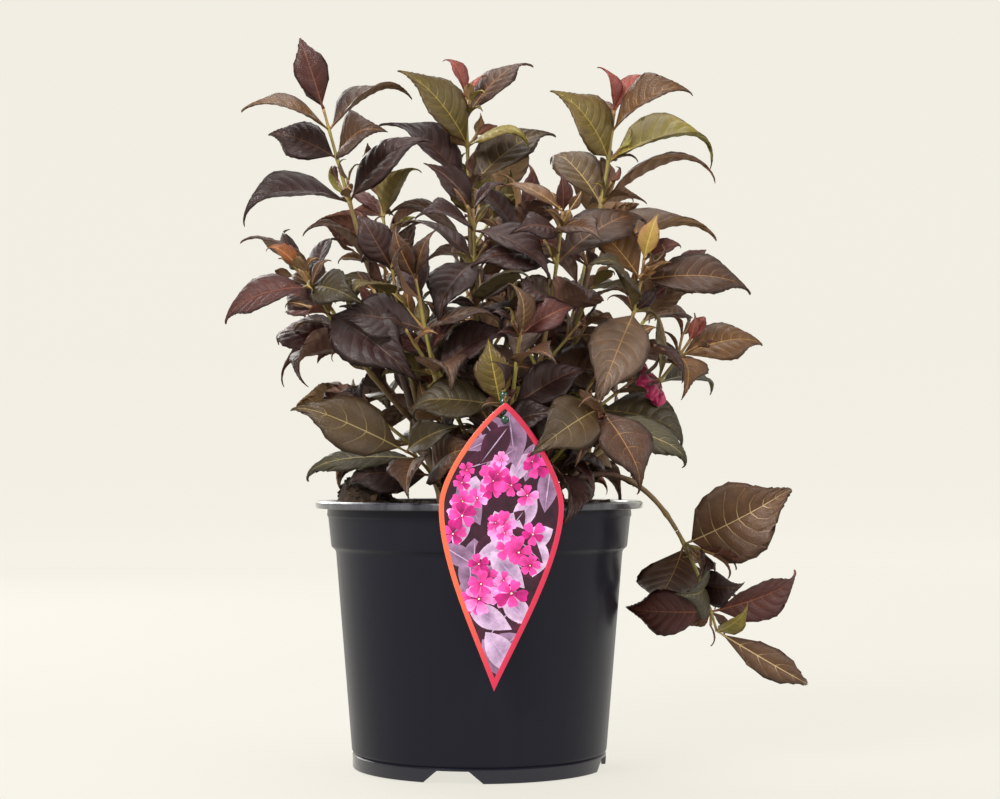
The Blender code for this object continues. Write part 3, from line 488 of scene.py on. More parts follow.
class Crowd:
    """Everything placed so far, to keep each new leaf or twig clear of it.

    Within one mass a piece is tested without its root, which is sunk into its own twig.
    """

    def __init__(self):
        self.placed = []

    def add_if_clear(self, owner, whole, rootless=None, always=False):
        """Adds a piece, unless it touches another one; returns whether it was added."""
        centre = sum(whole[0], Vector()) / len(whole[0])
        reach = max((point - centre).length for point in whole[0])
        whole_tree = BVHTree.FromPolygons(*whole)
        own_tree = BVHTree.FromPolygons(*rootless) if rootless else whole_tree
        if not always:
            for other, other_centre, other_reach, other_whole, other_own in self.placed:
                if (other_centre - centre).length > reach + other_reach:
                    continue
                if other == owner:
                    touching = other_own.overlap(own_tree)
                else:
                    touching = other_whole.overlap(whole_tree)
                if touching:
                    return False
        self.placed.append((owner, centre, reach, whole_tree, own_tree))
        return True


def stray(chance, most):
    """A random amount up to the most, either way."""
    return chance.uniform(-most, most)


class Shoot:
    """A leafy shoot: the last stretch of a limb's line, or a side shoot from one of its nodes."""

    def __init__(self, name, owner, line, pairs, leaf, heading, small=False):
        self.name = name
        self.owner = owner
        self.small = small
        self.line = line
        self.places = internodes(pairs)
        self.leaf = leaf
        self.heading = heading
        self.leaves = {}

    def leaf_base(self, pair, side):
        """Where a leaf starts, the way of the stem there, and the way out of it."""
        point, axis = self.line.at(self.places[pair])
        out = squared(heading_way(self.heading + 90 * pair + 180 * side), axis)
        base = point + out * ROOT_OUT * limb_radius(self.places[pair])
        return base, axis, out

    def seen_leaf(self, seen, change):
        """A leaf whose tip is known, a little moved when it would touch another."""
        point, axis, _ = self.leaf_base(seen.pair, seen.side)
        chord = Vector(seen.tip) * MM - point + change * TIP_STEP * MM
        length = chord.length * CURVE_LENGTH
        return leaf_of(point, axis, chord, seen.face * VIEWER, length, 0.0, seen.pair == 0)

    def ruled_leaf(self, pair, side, change):
        """A leaf by the shoot's rule, opened and turned a little more on each new try."""
        chance = random.Random(f"{self.name} {pair} {side}")
        point, axis, out = self.leaf_base(pair, side)
        age = min(pair, len(OPENING) - 1)
        opening = OPENING[age] + stray(chance, OPENING_STRAY) + OPENING_STEP * change.z
        turn = stray(chance, TURN_STRAY) + TURN_STEP * change.x
        out.rotate(Matrix.Rotation(math.radians(turn), 3, axis))
        way = axis * math.cos(math.radians(opening)) + out * math.sin(math.radians(opening))
        way -= UP * math.sin(math.radians(DROOP[age] + stray(chance, DROOP_STRAY)))
        length = self.leaf * LENGTH_BY_AGE[age] * chance.uniform(*LENGTH_STRAY) * MM
        length *= 1 - SHORTENING_STEP * abs(change.y)
        roll = stray(chance, ROLL_STRAY)
        chord = way.normalized() * length / CURVE_LENGTH
        outward = Vector((point.x, point.y, 0)).normalized() * OUTWARD_FACE
        return leaf_of(point, axis, chord, outward, length, roll, self.small or pair == 0)


def place_leaf(shoot, pair, side, crowd, seen=None):
    """Puts the first form of the leaf that touches nothing, or leaves it out."""
    for change in CHANGES:
        leaf = shoot.seen_leaf(seen, change) if seen else shoot.ruled_leaf(pair, side, change)
        if crowd.add_if_clear(shoot.owner, leaf_room(leaf, False), leaf_room(leaf, True)):
            shoot.leaves[pair, side] = leaf
            return


def bough_split(limb):
    """How far from a limb's tip its bough ends and its mass begins."""
    return internodes(limb.pairs)[-1] + STALK_BELOW_LEAVES * MM


def bough_room(limb, line):
    """The room of the bare lower stretch of a limb, which flares where it meets the compost."""
    split = bough_split(limb)
    rooted = is_rooted(limb)
    rings = max(3, round((line.length - split) / (BOUGH_RING_SPACING * MM)) + 1)
    places = [line.length + (split - line.length) * i / (rings - 1) for i in range(rings)]
    if rooted:
        places.insert(1, line.length - FLARE_HEIGHT * MM)
    points = [line.at(place)[0] for place in places]
    radii = [limb_radius(place) + CLEARANCE for place in places]
    if rooted:
        radii[0] *= FOOT_FLARE
    return tube(points, radii, ROOTED_SIDES if rooted else FORKED_SIDES, flat_foot=rooted)


def twig_room(line, far, sides):
    """The room of a shoot's twig, from a distance from its tip up to the tip."""
    count = max(2, round(far / (TWIG_RING_SPACING * MM)) + 1)
    places = [far - far * i / (count - 1) for i in range(count)]
    return tube([line.at(place)[0] for place in places],
                [limb_radius(place) + CLEARANCE for place in places], sides)


def room_for_twig(line, limb, crowd):
    """Whether a new twig of a limb touches nothing; it then joins the crowd."""
    whole, off_root = [twig_room(line, far, SIDE_TWIG_SIDES)
                       for far in (line.length, line.length - SIDE_TWIG_ROOT * MM)]
    return crowd.add_if_clear(limb.name, whole, off_root)


def side_line(shoot, pair, side, chance):
    """The line of a short shoot that grows from the axil of a leaf."""
    point, axis, out = shoot.leaf_base(pair, side)
    length = chance.uniform(*SIDE_TWIG_LENGTH) * MM
    way = (SIDE_TWIG_OUT * (axis + out) + SIDE_TWIG_UP * UP).normalized()
    return Line(point, (0, 0), point + way * length)


def grow_side_shoots(limb, shoot, crowd):
    """Short shoots from the lowest axils, kept where their twig touches nothing."""
    made = []
    chance = random.Random(limb.name + " sides")
    tries = [(pair, side) for pair in range(limb.pairs - 1, 1, -1) for side in (0, 1)]
    for pair, side in tries:
        if len(made) == limb.sides:
            break
        line = side_line(shoot, pair, side, chance)
        if room_for_twig(line, limb, crowd):
            made.append(Shoot(f"{limb.name} side {pair} {side}", limb.name, line, 2,
                              limb.leaf * SIDE_SHOOT_LEAF, chance.uniform(0, 360), small=True))
    return made


def bud_rooms(shoot):
    """The rooms of the buds that droop from one node of the shoot."""
    point, _ = shoot.line.at(shoot.places[BUD_NODE])
    for heading, rise in BUD_HEADINGS:
        way = heading_way(heading, rise)
        points = [point + way * BUD_LENGTH * MM * share for share, _ in BUD_STATIONS]
        yield tube(points, [BUD_RADIUS * MM * thick + CLEARANCE for _, thick in BUD_STATIONS], BUD_SIDES)


def main_shoots():
    """Each limb's leafy shoot, on the limb's own line, by name."""
    lines = {}
    shoots = {}
    for limb in LIMBS:
        line = limb_line(limb, lines)
        lines[limb.name] = line
        shoots[limb.name] = Shoot(limb.name, limb.name, line, limb.pairs, limb.leaf, limb.heading)
    return shoots


def crowd_with_stems(shoots, obstacles):
    """The crowd as it is before any leaf: pot, compost, label, tie, boughs, stems and buds."""
    crowd = Crowd()
    for shape in obstacles:
        crowd.add_if_clear("pot", shape, always=True)
    for limb in LIMBS:
        line = shoots[limb.name].line
        crowd.add_if_clear(limb.name, bough_room(limb, line), always=True)
        crowd.add_if_clear(limb.name, twig_room(line, bough_split(limb) - GAP, TWIG_SIDES), always=True)
    for bud in bud_rooms(shoots[BUD_LIMB]):
        crowd.add_if_clear(BUD_LIMB, bud, always=True)
    return crowd


def grow_leaves(shoots, crowd):
    """Places every leaf, the plainest first, and returns the side shoots of each limb."""
    for seen in SEEN_LEAVES:
        place_leaf(shoots[seen.limb], seen.pair, seen.side, crowd, seen)
    twigs = {limb.name: grow_side_shoots(limb, shoots[limb.name], crowd) for limb in LIMBS}
    taken = {(seen.limb, seen.pair, seen.side) for seen in SEEN_LEAVES}
    for limb in LIMBS:
        for shoot in [shoots[limb.name]] + twigs[limb.name]:
            for pair in range(len(shoot.places)):
                for side in (0, 1):
                    if (shoot.name, pair, side) not in taken:
                        place_leaf(shoot, pair, side, crowd)
    return twigs


# The plain tints of some other leaves, and how broad some leaves are against the rule, each leaf by its
# shoot, pair and side
OTHER_TINTS = {
    "front_low 0 0": "plum", "front_low 0 1": "plum", "front_middle 0 0": "plum",
    "front_left 0 0": "brown", "front_left 0 1": "brown",
}
SEEN_BREADTHS = {
    "upper_right 2 0": 1.25, "upper_left 2 1": 1.35, "low_right 3 1": 1.12, "middle 2 0": 0.92,
    "upper_left 1 0": 1.25, "upper_right 3 1": 1.25, "low_right 0 1": 0.58, "low_right 1 1": 0.85,
    "right 2 0": 0.9, "low_left 1 0": 0.4, "front_right 0 1": 1.3, "front_right 1 1": 0.55,
    "low_right 1 0": 1.0, "front_right 0 0": 1.3, "right side 4 1 1 0": 0.4, "right side 4 1 0 0": 0.6,
    "right 3 1": 0.65, "far_right sprig 1 1 1 0": 0.5, "low_right 3 0": 1.5, "low_right 2 0": 1.3,
    "low_right 2 1": 1.4,
}


Tint = namedtuple("Tint", "blade edge under vein")


def paint(red, green, blue):
    """A linear colour from the three figures of a swatch, from 0 to 255."""
    return tuple(((channel / 255 + 0.055) / 1.055) ** 2.4 for channel in (red, green, blue)) + (1.0,)


# Swatches of each tint: its blade, its edge, its under side and its veins
TINTS = {name: Tint(*(paint(*swatch) for swatch in swatches)) for name, swatches in {
    "plum": ((49, 30, 28), (38, 24, 22), (99, 72, 60), (89, 60, 46)),
    "wine": ((74, 38, 32), (54, 28, 28), (109, 70, 56), (115, 70, 51)),
    "brown": ((70, 46, 31), (50, 33, 25), (106, 79, 57), (136, 100, 62)),
    "bronze": ((98, 67, 37), (70, 47, 31), (118, 91, 61), (163, 127, 73)),
    "moss": ((56, 47, 28), (44, 34, 23), (92, 80, 52), (106, 89, 50)),
    "olive": ((96, 82, 38), (73, 53, 31), (112, 97, 54), (167, 142, 73)),
    "green": ((131, 118, 49), (98, 80, 37), (124, 116, 59), (173, 152, 78)),
    "gold": ((146, 122, 60), (130, 90, 60), (142, 122, 72), (178, 150, 84)),
    "blush": ((133, 66, 56), (104, 49, 45), (133, 76, 64), (163, 99, 73)),
    "orange": ((133, 78, 38), (100, 55, 37), (131, 87, 56), (171, 118, 63)),
    "mauve": ((96, 75, 58), (76, 59, 49), (122, 95, 77), (147, 114, 78)),
    "khaki": ((78, 61, 40), (60, 45, 32), (100, 86, 58), (150, 130, 84)),
    "russet": ((90, 64, 44), (66, 47, 35), (106, 84, 62), (184, 158, 116)),
    "grey": ((70, 64, 46), (56, 51, 38), (106, 101, 71), (141, 127, 84)),
}.items()}
LEAF_FINISHES = [f"{tint}_{face}" for tint in TINTS for face in ("upper", "under", "vein")]

# How a leaf is cut into faces. Columns are shares of the blade outside the midrib.
UPPER_COLUMNS = (1.0, 0.8, 0.5, 0.22, 0.0)
UNDER_COLUMNS = (0.45, 0.0)
FULL_VEINS = 8
SMALL_VEINS = 5
FIRST_VEIN = 0.07
VEINED_RUN = 0.84
PANEL_ROWS = (0.36, 0.68)
VEIN_SWEEP = 0.24
VEIN_HALF_WIDTH = 0.0036
PETIOLE_SHARE = 0.075
PETIOLE_HALF = 0.65 * MM
TIP_HALF = 0.12 * MM
MIDRIB_HALF = 0.42 * MM
BLADE_THICKNESS = 0.34 * MM
WIDEST_AT = 0.45
BASE_POWER = 1.05
TIP_POWER = (1.2, 1.45)
TIP_DRAWN = (0.52, 0.76)
TIP_FROM = 0.56
FULLNESS = 1.12
KEEL = (0.22, 0.66)
CURL = (0.05, 0.42)
TIP_DROOP = (0.04, 0.24)
BLADE_TWIST = 30.0
QUILT = 0.58 * MM
SUNK_VEIN = 0.26 * MM
PROUD_VEIN = 0.3 * MM
TOOTH = 0.5 * MM
TOOTH_ROWS = (0.0, -0.4, 1.0, -0.3, 0.9)
TOOTH_SLANT = 0.006
TOOTH_EVENNESS = 0.4
WAVES = 1.7
WAVE_SHIFT = (0.3, 1.6)
VEIN_CURVE = 1.35
VEIN_FADING = 0.7
QUILT_FULLNESS = 0.7
MIDRIB_NARROWING = 0.7
MIDRIB_MOST = 0.6
MIDRIB_THICKNESS = 1.3 * MIDRIB_HALF
MIDRIB_THINNING = 0.75
LEAF_SPACING = 7.0
DROOP_FROM = 0.6
COMMON_LEAF = 60 * MM
CURVE_STEPS = 32
WAVE = (0.5 * MM, 1.7 * MM)


def put_in_scene(name, data):
    """A new object with its data, linked into the scene."""
    obj = bpy.data.objects.new(name, data)
    bpy.context.scene.collection.objects.link(obj)
    return obj


class Heap:
    """Faces, finishes and values of many small closed shapes, gathered into one mesh.

    The finish of a shape's faces is one number for all of them, or a list.
    """

    def __init__(self):
        self.points = []
        self.faces = []
        self.marks = []
        self.values = {}
        self.count = 0

    def add(self, points, faces, marks, **values):
        """Adds one closed shape, with a value for each of its points under each name."""
        self.faces += [[corner + self.count for corner in face] for face in faces]
        self.marks += [marks] * len(faces) if isinstance(marks, int) else marks
        self.points.append(np.asarray(points, np.float32))
        for name, value in values.items():
            self.values.setdefault(name, []).append(np.asarray(value, np.float32))
        self.count += len(points)

    def build(self, name, finishes, smooth=True):
        """The mesh of all the shapes as a new object."""
        mesh = bpy.data.meshes.new(name)
        mesh.from_pydata(np.concatenate(self.points).tolist(), [], self.faces)
        mesh.polygons.foreach_set("material_index", self.marks)
        mesh.polygons.foreach_set("use_smooth", [smooth] * len(mesh.polygons))
        for key, parts in self.values.items():
            values = np.concatenate(parts)
            kind = "FLOAT" if values.ndim == 1 else "FLOAT_VECTOR"
            attribute = mesh.attributes.new(key, kind, "POINT")
            attribute.data.foreach_set("value" if values.ndim == 1 else "vector", values.ravel())
        for finish in finishes:
            mesh.materials.append(bpy.data.materials[finish])
        mesh.update()
        return put_in_scene(name, mesh)


def blade_rows(veins):
    """Places along the midrib where rows start, and whether a vein fills the space after each one."""
    rows = [0.0]
    fills = []
    for number in range(veins):
        vein, after = [FIRST_VEIN + VEINED_RUN * (place + 0.4) / veins for place in (number, number + 1)]
        if number == veins - 1:
            after = 1.0
        rows += [vein - VEIN_HALF_WIDTH, vein + VEIN_HALF_WIDTH]
        fills += [False, True]
        rows += [vein + (after - vein) * share for share in PANEL_ROWS]
        fills += [False, False]
    rows.append(1.0)
    fills.append(False)
    return np.array(rows), fills


def bend(curve, share):
    """Points of a cubic curve, and its directions, at an array of shares."""
    a, b, c, d = [np.array(point) for point in curve]
    t = share[..., None]
    points = (1 - t) ** 3 * a + 3 * (1 - t) ** 2 * t * b + 3 * (1 - t) * t ** 2 * c + t ** 3 * d
    ways = (1 - t) ** 2 * (b - a) + 2 * (1 - t) * t * (c - b) + t ** 2 * (d - c)
    return points, ways / np.linalg.norm(ways, axis=-1, keepdims=True)


def even_shares(curve, share):
    """Shares of a cubic curve's own run that lie at even shares of its length."""
    fine = np.linspace(0, 1, CURVE_STEPS + 1)
    points, _ = bend(curve, fine)
    steps = np.linalg.norm(np.diff(points, axis=0), axis=1)
    lengths = np.concatenate([[0.0], np.cumsum(steps)]) / steps.sum()
    return np.interp(share, lengths, fine)


def blade_breadth(along, power, drawn):
    """Half the blade's breadth as a share of its widest, at places from its base to its drawn-out tip."""
    near = np.clip(along, 1e-4, 1) / WIDEST_AT
    far = np.clip(1 - along, 1e-4, 1) / (1 - WIDEST_AT)
    last = np.clip((along - TIP_FROM) / (1 - TIP_FROM), 0, 1)
    return near ** BASE_POWER * far ** power * (1 - drawn * last * (2 - last))


# One ring of a leaf, from edge to edge over its upper side and back under it: how far out each column is,
# on which side of the midrib, whether it is below, and whether it is at the margin
OUT = np.array(UPPER_COLUMNS + UPPER_COLUMNS[::-1] + UNDER_COLUMNS + UNDER_COLUMNS[::-1])
SIDE = np.repeat([-1.0, 1.0, 1.0, -1.0], [len(UPPER_COLUMNS)] * 2 + [len(UNDER_COLUMNS)] * 2)
BELOW = np.repeat([0.0, 1.0], [2 * len(UPPER_COLUMNS), 2 * len(UNDER_COLUMNS)])
MARGIN = (OUT == 1).astype(float)
MIDDLE = (OUT == 0).astype(float)


def blade_bow(chance, along, half, spread, size, length):
    """How far a blade rises off its middle line: waved, keeled, curled at its edges, its tip drooping."""
    phase = chance.uniform(0, 2 * math.pi)
    turns = 2 * math.pi * WAVES * along + phase + SIDE * chance.uniform(*WAVE_SHIFT)
    wave = chance.uniform(*WAVE) * size * np.sin(turns) * panelled(along)
    keel, curl = chance.uniform(*KEEL), chance.uniform(*CURL)
    bow = half * (keel * spread - curl * spread ** 2 * (1 + 0.6 * along)) + wave * spread ** 2
    drooped = np.clip((along - DROOP_FROM) / (1 - DROOP_FROM), 0, 1)
    return bow - chance.uniform(*TIP_DROOP) * length * drooped ** 2


def blade_relief(fills, along, size):
    """A blade's relief: quilted between its sunken veins, and proud veins on its under side."""
    vein_row = np.array([after or before for after, before in zip(fills + [False], [False] + fills)])
    panel = np.where(vein_row, 0.0, 1.0)
    panel[[0, -1]] = 0.0
    vein = vein_row[:, None] * (1 - VEIN_FADING * OUT)
    quilt = QUILT * size * panel[:, None] * np.sin(np.pi * OUT) ** QUILT_FULLNESS
    thick = BLADE_THICKNESS * (1 - 0.5 * MARGIN) + PROUD_VEIN * size * vein
    thick = thick + MIDDLE * MIDRIB_THICKNESS * (1 - MIDRIB_THINNING * along)
    return quilt - SUNK_VEIN * size * np.maximum(vein, MIDDLE) - BELOW * thick


def stalk_rings(leaf, curve):
    """The two rings of a leaf's stalk, and how far across it each of their points lies."""
    shares = np.array([[0.0], [PETIOLE_SHARE / 2]]) + np.zeros(len(OUT))
    centre, way = bend(curve, even_shares(curve, shares))
    across = SIDE * (0.45 + 0.55 * OUT) * PETIOLE_HALF + np.zeros((2, 1))
    lift = np.where(BELOW > 0, -1.5, 0.12 * OUT) * np.where((BELOW > 0) & (OUT > 0), 0.7, 1.0)
    lift = lift * PETIOLE_HALF + np.zeros((2, 1))
    return place_across(leaf, centre, way, across, lift, 0.0, np.zeros_like(across)), across


def add_leaf(heap, leaf, name, number, tint, tone):
    """One leaf: a thin closed blade whose rows follow its side veins, on a short stalk."""
    chance = random.Random(name + " blade")
    rows, fills = blade_rows(SMALL_VEINS if leaf.young else FULL_VEINS)
    size = leaf.length / COMMON_LEAF
    start = rows[:, None] + np.zeros(len(OUT))
    along = start + VEIN_SWEEP * OUT ** VEIN_CURVE * 4 * start * (1 - start)
    tooth = (np.resize(TOOTH_ROWS, len(rows)) * np.sin(np.pi * rows) ** TOOTH_EVENNESS)[:, None]
    along = np.clip(along + MARGIN * TOOTH_SLANT * tooth, 0, 1)
    half = leaf.breadth / 2 * FULLNESS * SEEN_BREADTHS.get(name, 1.0)
    half = half * blade_breadth(along, chance.uniform(*TIP_POWER), chance.uniform(*TIP_DRAWN))
    half += PETIOLE_HALF * (1 - along) ** 3 + TIP_HALF
    midrib = np.minimum(MIDRIB_HALF * (1 - MIDRIB_NARROWING * along), half * MIDRIB_MOST) / half
    spread = midrib + (1 - midrib) * OUT
    across = SIDE * (spread * half + MARGIN * TOOTH * size * tooth)
    lift = blade_bow(chance, along, half, spread, size, leaf.length) + blade_relief(fills, along, size)
    curve = (leaf.base, leaf.first, leaf.second, leaf.tip)
    centre, way = bend(curve, even_shares(curve, PETIOLE_SHARE + (1 - PETIOLE_SHARE) * along))
    twist = chance.uniform(-BLADE_TWIST, BLADE_TWIST)
    blade = place_across(leaf, centre, way, across, lift, twist, along)

    stalk, stalk_across = stalk_rings(leaf, curve)
    on_stalk = np.zeros_like(stalk_across)
    out = np.concatenate([on_stalk, OUT + np.zeros_like(along)])
    across = np.concatenate([stalk_across, across]) / MM
    along = np.concatenate([on_stalk, along])
    place = np.stack([across, along * leaf.length / MM, np.full_like(along, number * LEAF_SPACING)], -1)
    shade = np.stack([out, along, np.full_like(along, tone)], -1)
    heap.add(np.concatenate([stalk, blade]).reshape(-1, 3), ring_faces(len(along), len(OUT)),
             leaf_marks(tint, [False, False] + fills, len(OUT)),
             blade_place=place.reshape(-1, 3), blade_shade=shade.reshape(-1, 3))


def panelled(along):
    """How far a blade waves: not at its base, most near its middle, less at its tip."""
    return np.clip(along * 3, 0, 1) * (1.1 - along)


def place_across(leaf, centre, way, across, lift, twist, along):
    """Points of a blade in space from its centre line, its way across and its lift."""
    first = np.array(leaf.side_axis)
    side_way = first - (way @ first)[..., None] * way
    side_way /= np.linalg.norm(side_way, axis=-1, keepdims=True)
    normal = np.cross(side_way, way)
    turn = np.radians(twist) * along
    turned_side = np.cos(turn)[..., None] * side_way + np.sin(turn)[..., None] * normal
    turned_normal = np.cos(turn)[..., None] * normal - np.sin(turn)[..., None] * side_way
    return centre + across[..., None] * turned_side + lift[..., None] * turned_normal


def leaf_marks(tint, fills, ring):
    """The finish of each face of a leaf, row by row, and of its two ends."""
    first = list(TINTS).index(tint) * 3
    blade, under, vein = first, first + 1, first + 2
    wide = len(UPPER_COLUMNS)
    marks = []
    for number, fill in enumerate(fills):
        row = [blade] * (2 * wide - 1) + [under] * (ring - 2 * wide + 1)
        row[wide - 1] = vein
        if fill:
            row[1:2 * wide - 2] = [vein] * (2 * wide - 3)
        if number < 2:
            row = [vein] * ring
        marks += row
    return marks + [vein, blade]


class Signal:
    """A shader socket that can stand in an expression: each operator adds its Math node."""

    def __init__(self, finish, socket):
        self.finish = finish
        self.socket = socket

    def math(self, operation, first, second=0.0):
        return self.finish.node("ShaderNodeMath", {"operation": operation}, {0: first, 1: second})

    def __add__(self, other):
        return self.math("ADD", self, other)

    def __sub__(self, other):
        return self.math("SUBTRACT", self, other)

    def __rsub__(self, other):
        return self.math("SUBTRACT", other, self)

    def __mul__(self, other):
        return self.math("MULTIPLY", self, other)

    def __truediv__(self, other):
        return self.math("DIVIDE", self, other)

    def __pow__(self, other):
        return self.math("POWER", self, other)

    __radd__ = __add__
    __rmul__ = __mul__

    def within(self):
        """The signal kept between 0 and 1."""
        return self.math("MINIMUM", self.math("MAXIMUM", self, 0.0), 1.0)


class Finish:
    """A material that is being made: a Principled shader and the nodes that feed it."""

    def __init__(self, name, colour, roughness, **constants):
        self.material = bpy.data.materials.new(name)
        self.material.use_nodes = True
        self.tree = self.material.node_tree
        self.shader = self.tree.nodes["Principled BSDF"]
        self.feed("Base Color", colour)
        self.feed("Roughness", roughness)
        for key, value in constants.items():
            self.feed(key.replace("_", " "), value)

    def node(self, kind, settings, inputs, output=0):
        """One node with its settings, which come first, and the values or links of its sockets."""
        made = self.tree.nodes.new(kind)
        for key, value in settings.items():
            if key == "stops":
                set_stops(made.color_ramp, value)
            else:
                setattr(made, key, value)
        for key, value in inputs.items():
            self.connect(made.inputs[key], value)
        return Signal(self, made.outputs[output])

    def connect(self, socket, value):
        """Links a signal to a socket, or sets the socket to a plain value."""
        if isinstance(value, Signal):
            self.tree.links.new(value.socket, socket)
        else:
            socket.default_value = value

    def feed(self, socket, value):
        """Connects a value to a socket of the shader."""
        self.connect(self.shader.inputs[socket], value)

    def attribute(self, name, output="Vector"):
        """A value that the mesh holds at each of its points."""
        return self.node("ShaderNodeAttribute", {"attribute_name": name}, {}, output)

    def parts(self, vector):
        """The three numbers of a vector."""
        split = self.node("ShaderNodeSeparateXYZ", {}, {0: vector})
        outputs = split.socket.node.outputs
        return [Signal(self, outputs[index]) for index in range(3)]

    def place(self, turn=(0, 0, 0), scale=(1, 1, 1)):
        """Object coordinates, turned and stretched."""
        where = self.node("ShaderNodeTexCoord", {}, {}, "Object")
        return self.node("ShaderNodeMapping", {}, {"Vector": where, "Rotation": turn, "Scale": scale})

    def noise(self, where, scale, detail=3.0, roughness=0.5):
        """Smooth noise about one half."""
        inputs = {"Vector": where, "Scale": scale, "Detail": detail, "Roughness": roughness}
        return self.node("ShaderNodeTexNoise", {}, inputs, "Fac")

    def cells(self, where, scale):
        """The distance to the nearest edge of a net of cells."""
        settings = {"feature": "DISTANCE_TO_EDGE"}
        return self.node("ShaderNodeTexVoronoi", settings, {"Vector": where, "Scale": scale}, "Distance")

    def mix(self, share, first, second):
        """A blend of two colours."""
        inputs = {0: share, 6: first, 7: second}
        return self.node("ShaderNodeMix", {"data_type": "RGBA"}, inputs, 2)

    def shaded(self, colour, strength):
        """A colour made lighter or darker."""
        settings = {"operation": "SCALE"}
        return self.node("ShaderNodeVectorMath", settings, {0: colour, "Scale": strength})

    def relief(self, height, strength, depth):
        """Lets the surface look raised where the height is great."""
        inputs = {"Strength": strength, "Distance": depth, "Height": height}
        self.feed("Normal", self.node("ShaderNodeBump", {}, inputs, "Normal"))


def set_stops(ramp, stops):
    """Gives a colour ramp its stops."""
    while len(ramp.elements) < len(stops):
        ramp.elements.new(0.5)
    for element, (position, colour) in zip(ramp.elements, stops):
        element.position = position
        element.color = colour


def make_blade_finish(name, colour, edge_colour, gloss, net):
    """One tint of a leaf: darker towards its margin, mottled, with a fine net of small veins."""
    finish = Finish(name, colour, gloss, Specular_IOR_Level=0.26)
    place = finish.attribute("blade_place")
    edge, along, tone = finish.parts(finish.attribute("blade_shade"))
    mottle = finish.noise(place, 0.16)
    fine = finish.noise(place, 1.4, 2.0)
    netted = (finish.cells(place, 0.75) * 5).within()
    margin = ((edge ** 1.6) * 0.75 + (mottle - 0.5) * 1.3 + 0.1).within()
    shade = 1.0 + tone * 0.24 + (fine - 0.5) * 0.22 + (1 - netted) * net - along * 0.08
    finish.feed("Base Color", finish.shaded(finish.mix(margin, colour, edge_colour), shade))
    finish.feed("Roughness", gloss + (mottle - 0.5) * 0.22 + (fine - 0.5) * 0.1)
    finish.relief(netted * 0.6 + fine * 0.5, 0.5, 0.3 * MM)


def make_vein_finish(name, colour, blade):
    """A leaf's veins, which fade into the blade towards its margin."""
    finish = Finish(name, colour, 0.45, Specular_IOR_Level=0.32)
    edge, along, tone = finish.parts(finish.attribute("blade_shade"))
    fade = (edge * 2.1 + along * 0.35 - 0.03).within() * 0.88
    finish.feed("Base Color", finish.shaded(finish.mix(fade, colour, blade), 1.0 + tone * 0.2))


def make_leaf_finishes():
    """A finish for the upper side, the under side and the veins of each tint."""
    for name, tint in TINTS.items():
        make_blade_finish(name + "_upper", tint.blade, tint.edge, 0.4, 0.16)
        make_blade_finish(name + "_under", tint.under, tint.under, 0.58, 0.3)
        make_vein_finish(name + "_vein", tint.vein, tint.blade)


def make_stem_finish():
    """Bark that goes from yellow-green at a shoot's tip through purple-brown to grey-tan old wood."""
    finish = Finish("stem_bark", paint(110, 90, 60), 0.55)
    age = finish.attribute("stem_age", "Fac")
    around = finish.attribute("stem_around", "Fac")
    place = finish.place()
    patch = finish.noise(place, 90.0)
    streak = finish.noise(finish.place(scale=(1, 1, 0.12)), 1400.0, 2.0)
    ramp = finish.node("ShaderNodeValToRGB", {"stops": (
        (0.0, paint(140, 104, 66)), (0.12, paint(150, 140, 68)), (0.34, paint(122, 98, 58)),
        (0.55, paint(98, 70, 60)), (0.8, paint(92, 70, 56)), (1.0, paint(128, 108, 86)),
    )}, {0: (age * 0.72 + (patch - 0.5) * 0.3).within()}, "Color")
    dark = (streak * 1.6 - 0.5).within()
    shade = 0.82 + dark * 0.4 + (patch - 0.5) * 0.3 + around * 0.1
    finish.feed("Base Color", finish.shaded(ramp, shade))
    finish.feed("Roughness", 0.46 + (patch - 0.5) * 0.2 + age * 0.08)
    finish.relief(streak, 0.5, 0.25 * MM)


def make_bud_finishes():
    """Crimson petals, darker at their foot, and a green to russet calyx."""
    finish = Finish("bud_petal", paint(176, 20, 78), 0.42, Sheen_Weight=0.2)
    place = finish.place()
    patch = finish.noise(place, 260.0)
    along = finish.attribute("bud_along", "Fac")
    colour = finish.mix((along * 0.9 + (patch - 0.5) * 0.6).within(), paint(92, 8, 46), paint(178, 20, 86))
    finish.feed("Base Color", colour)
    finish.feed("Roughness", 0.36 + patch * 0.2)
    finish.relief(finish.noise(place, 1500.0), 0.3, 0.2 * MM)
    calyx = Finish("bud_calyx", paint(120, 92, 62), 0.5)
    tone = calyx.noise(calyx.place(), 300.0)
    calyx.feed("Base Color", calyx.mix(tone, paint(128, 104, 60), paint(104, 60, 58)))


# The pot's polished lip and foot: the colour of the lip's painted highlight, their heights, and how sharply
# they begin
LIP_HIGHLIGHT_COLOUR = paint(104, 104, 112)
LIP_FROM = 149.2 * MM
FOOT_UP_TO = 8.2 * MM
DUST_UP_TO = 10 * MM
EDGE_SHARPNESS = 900.0


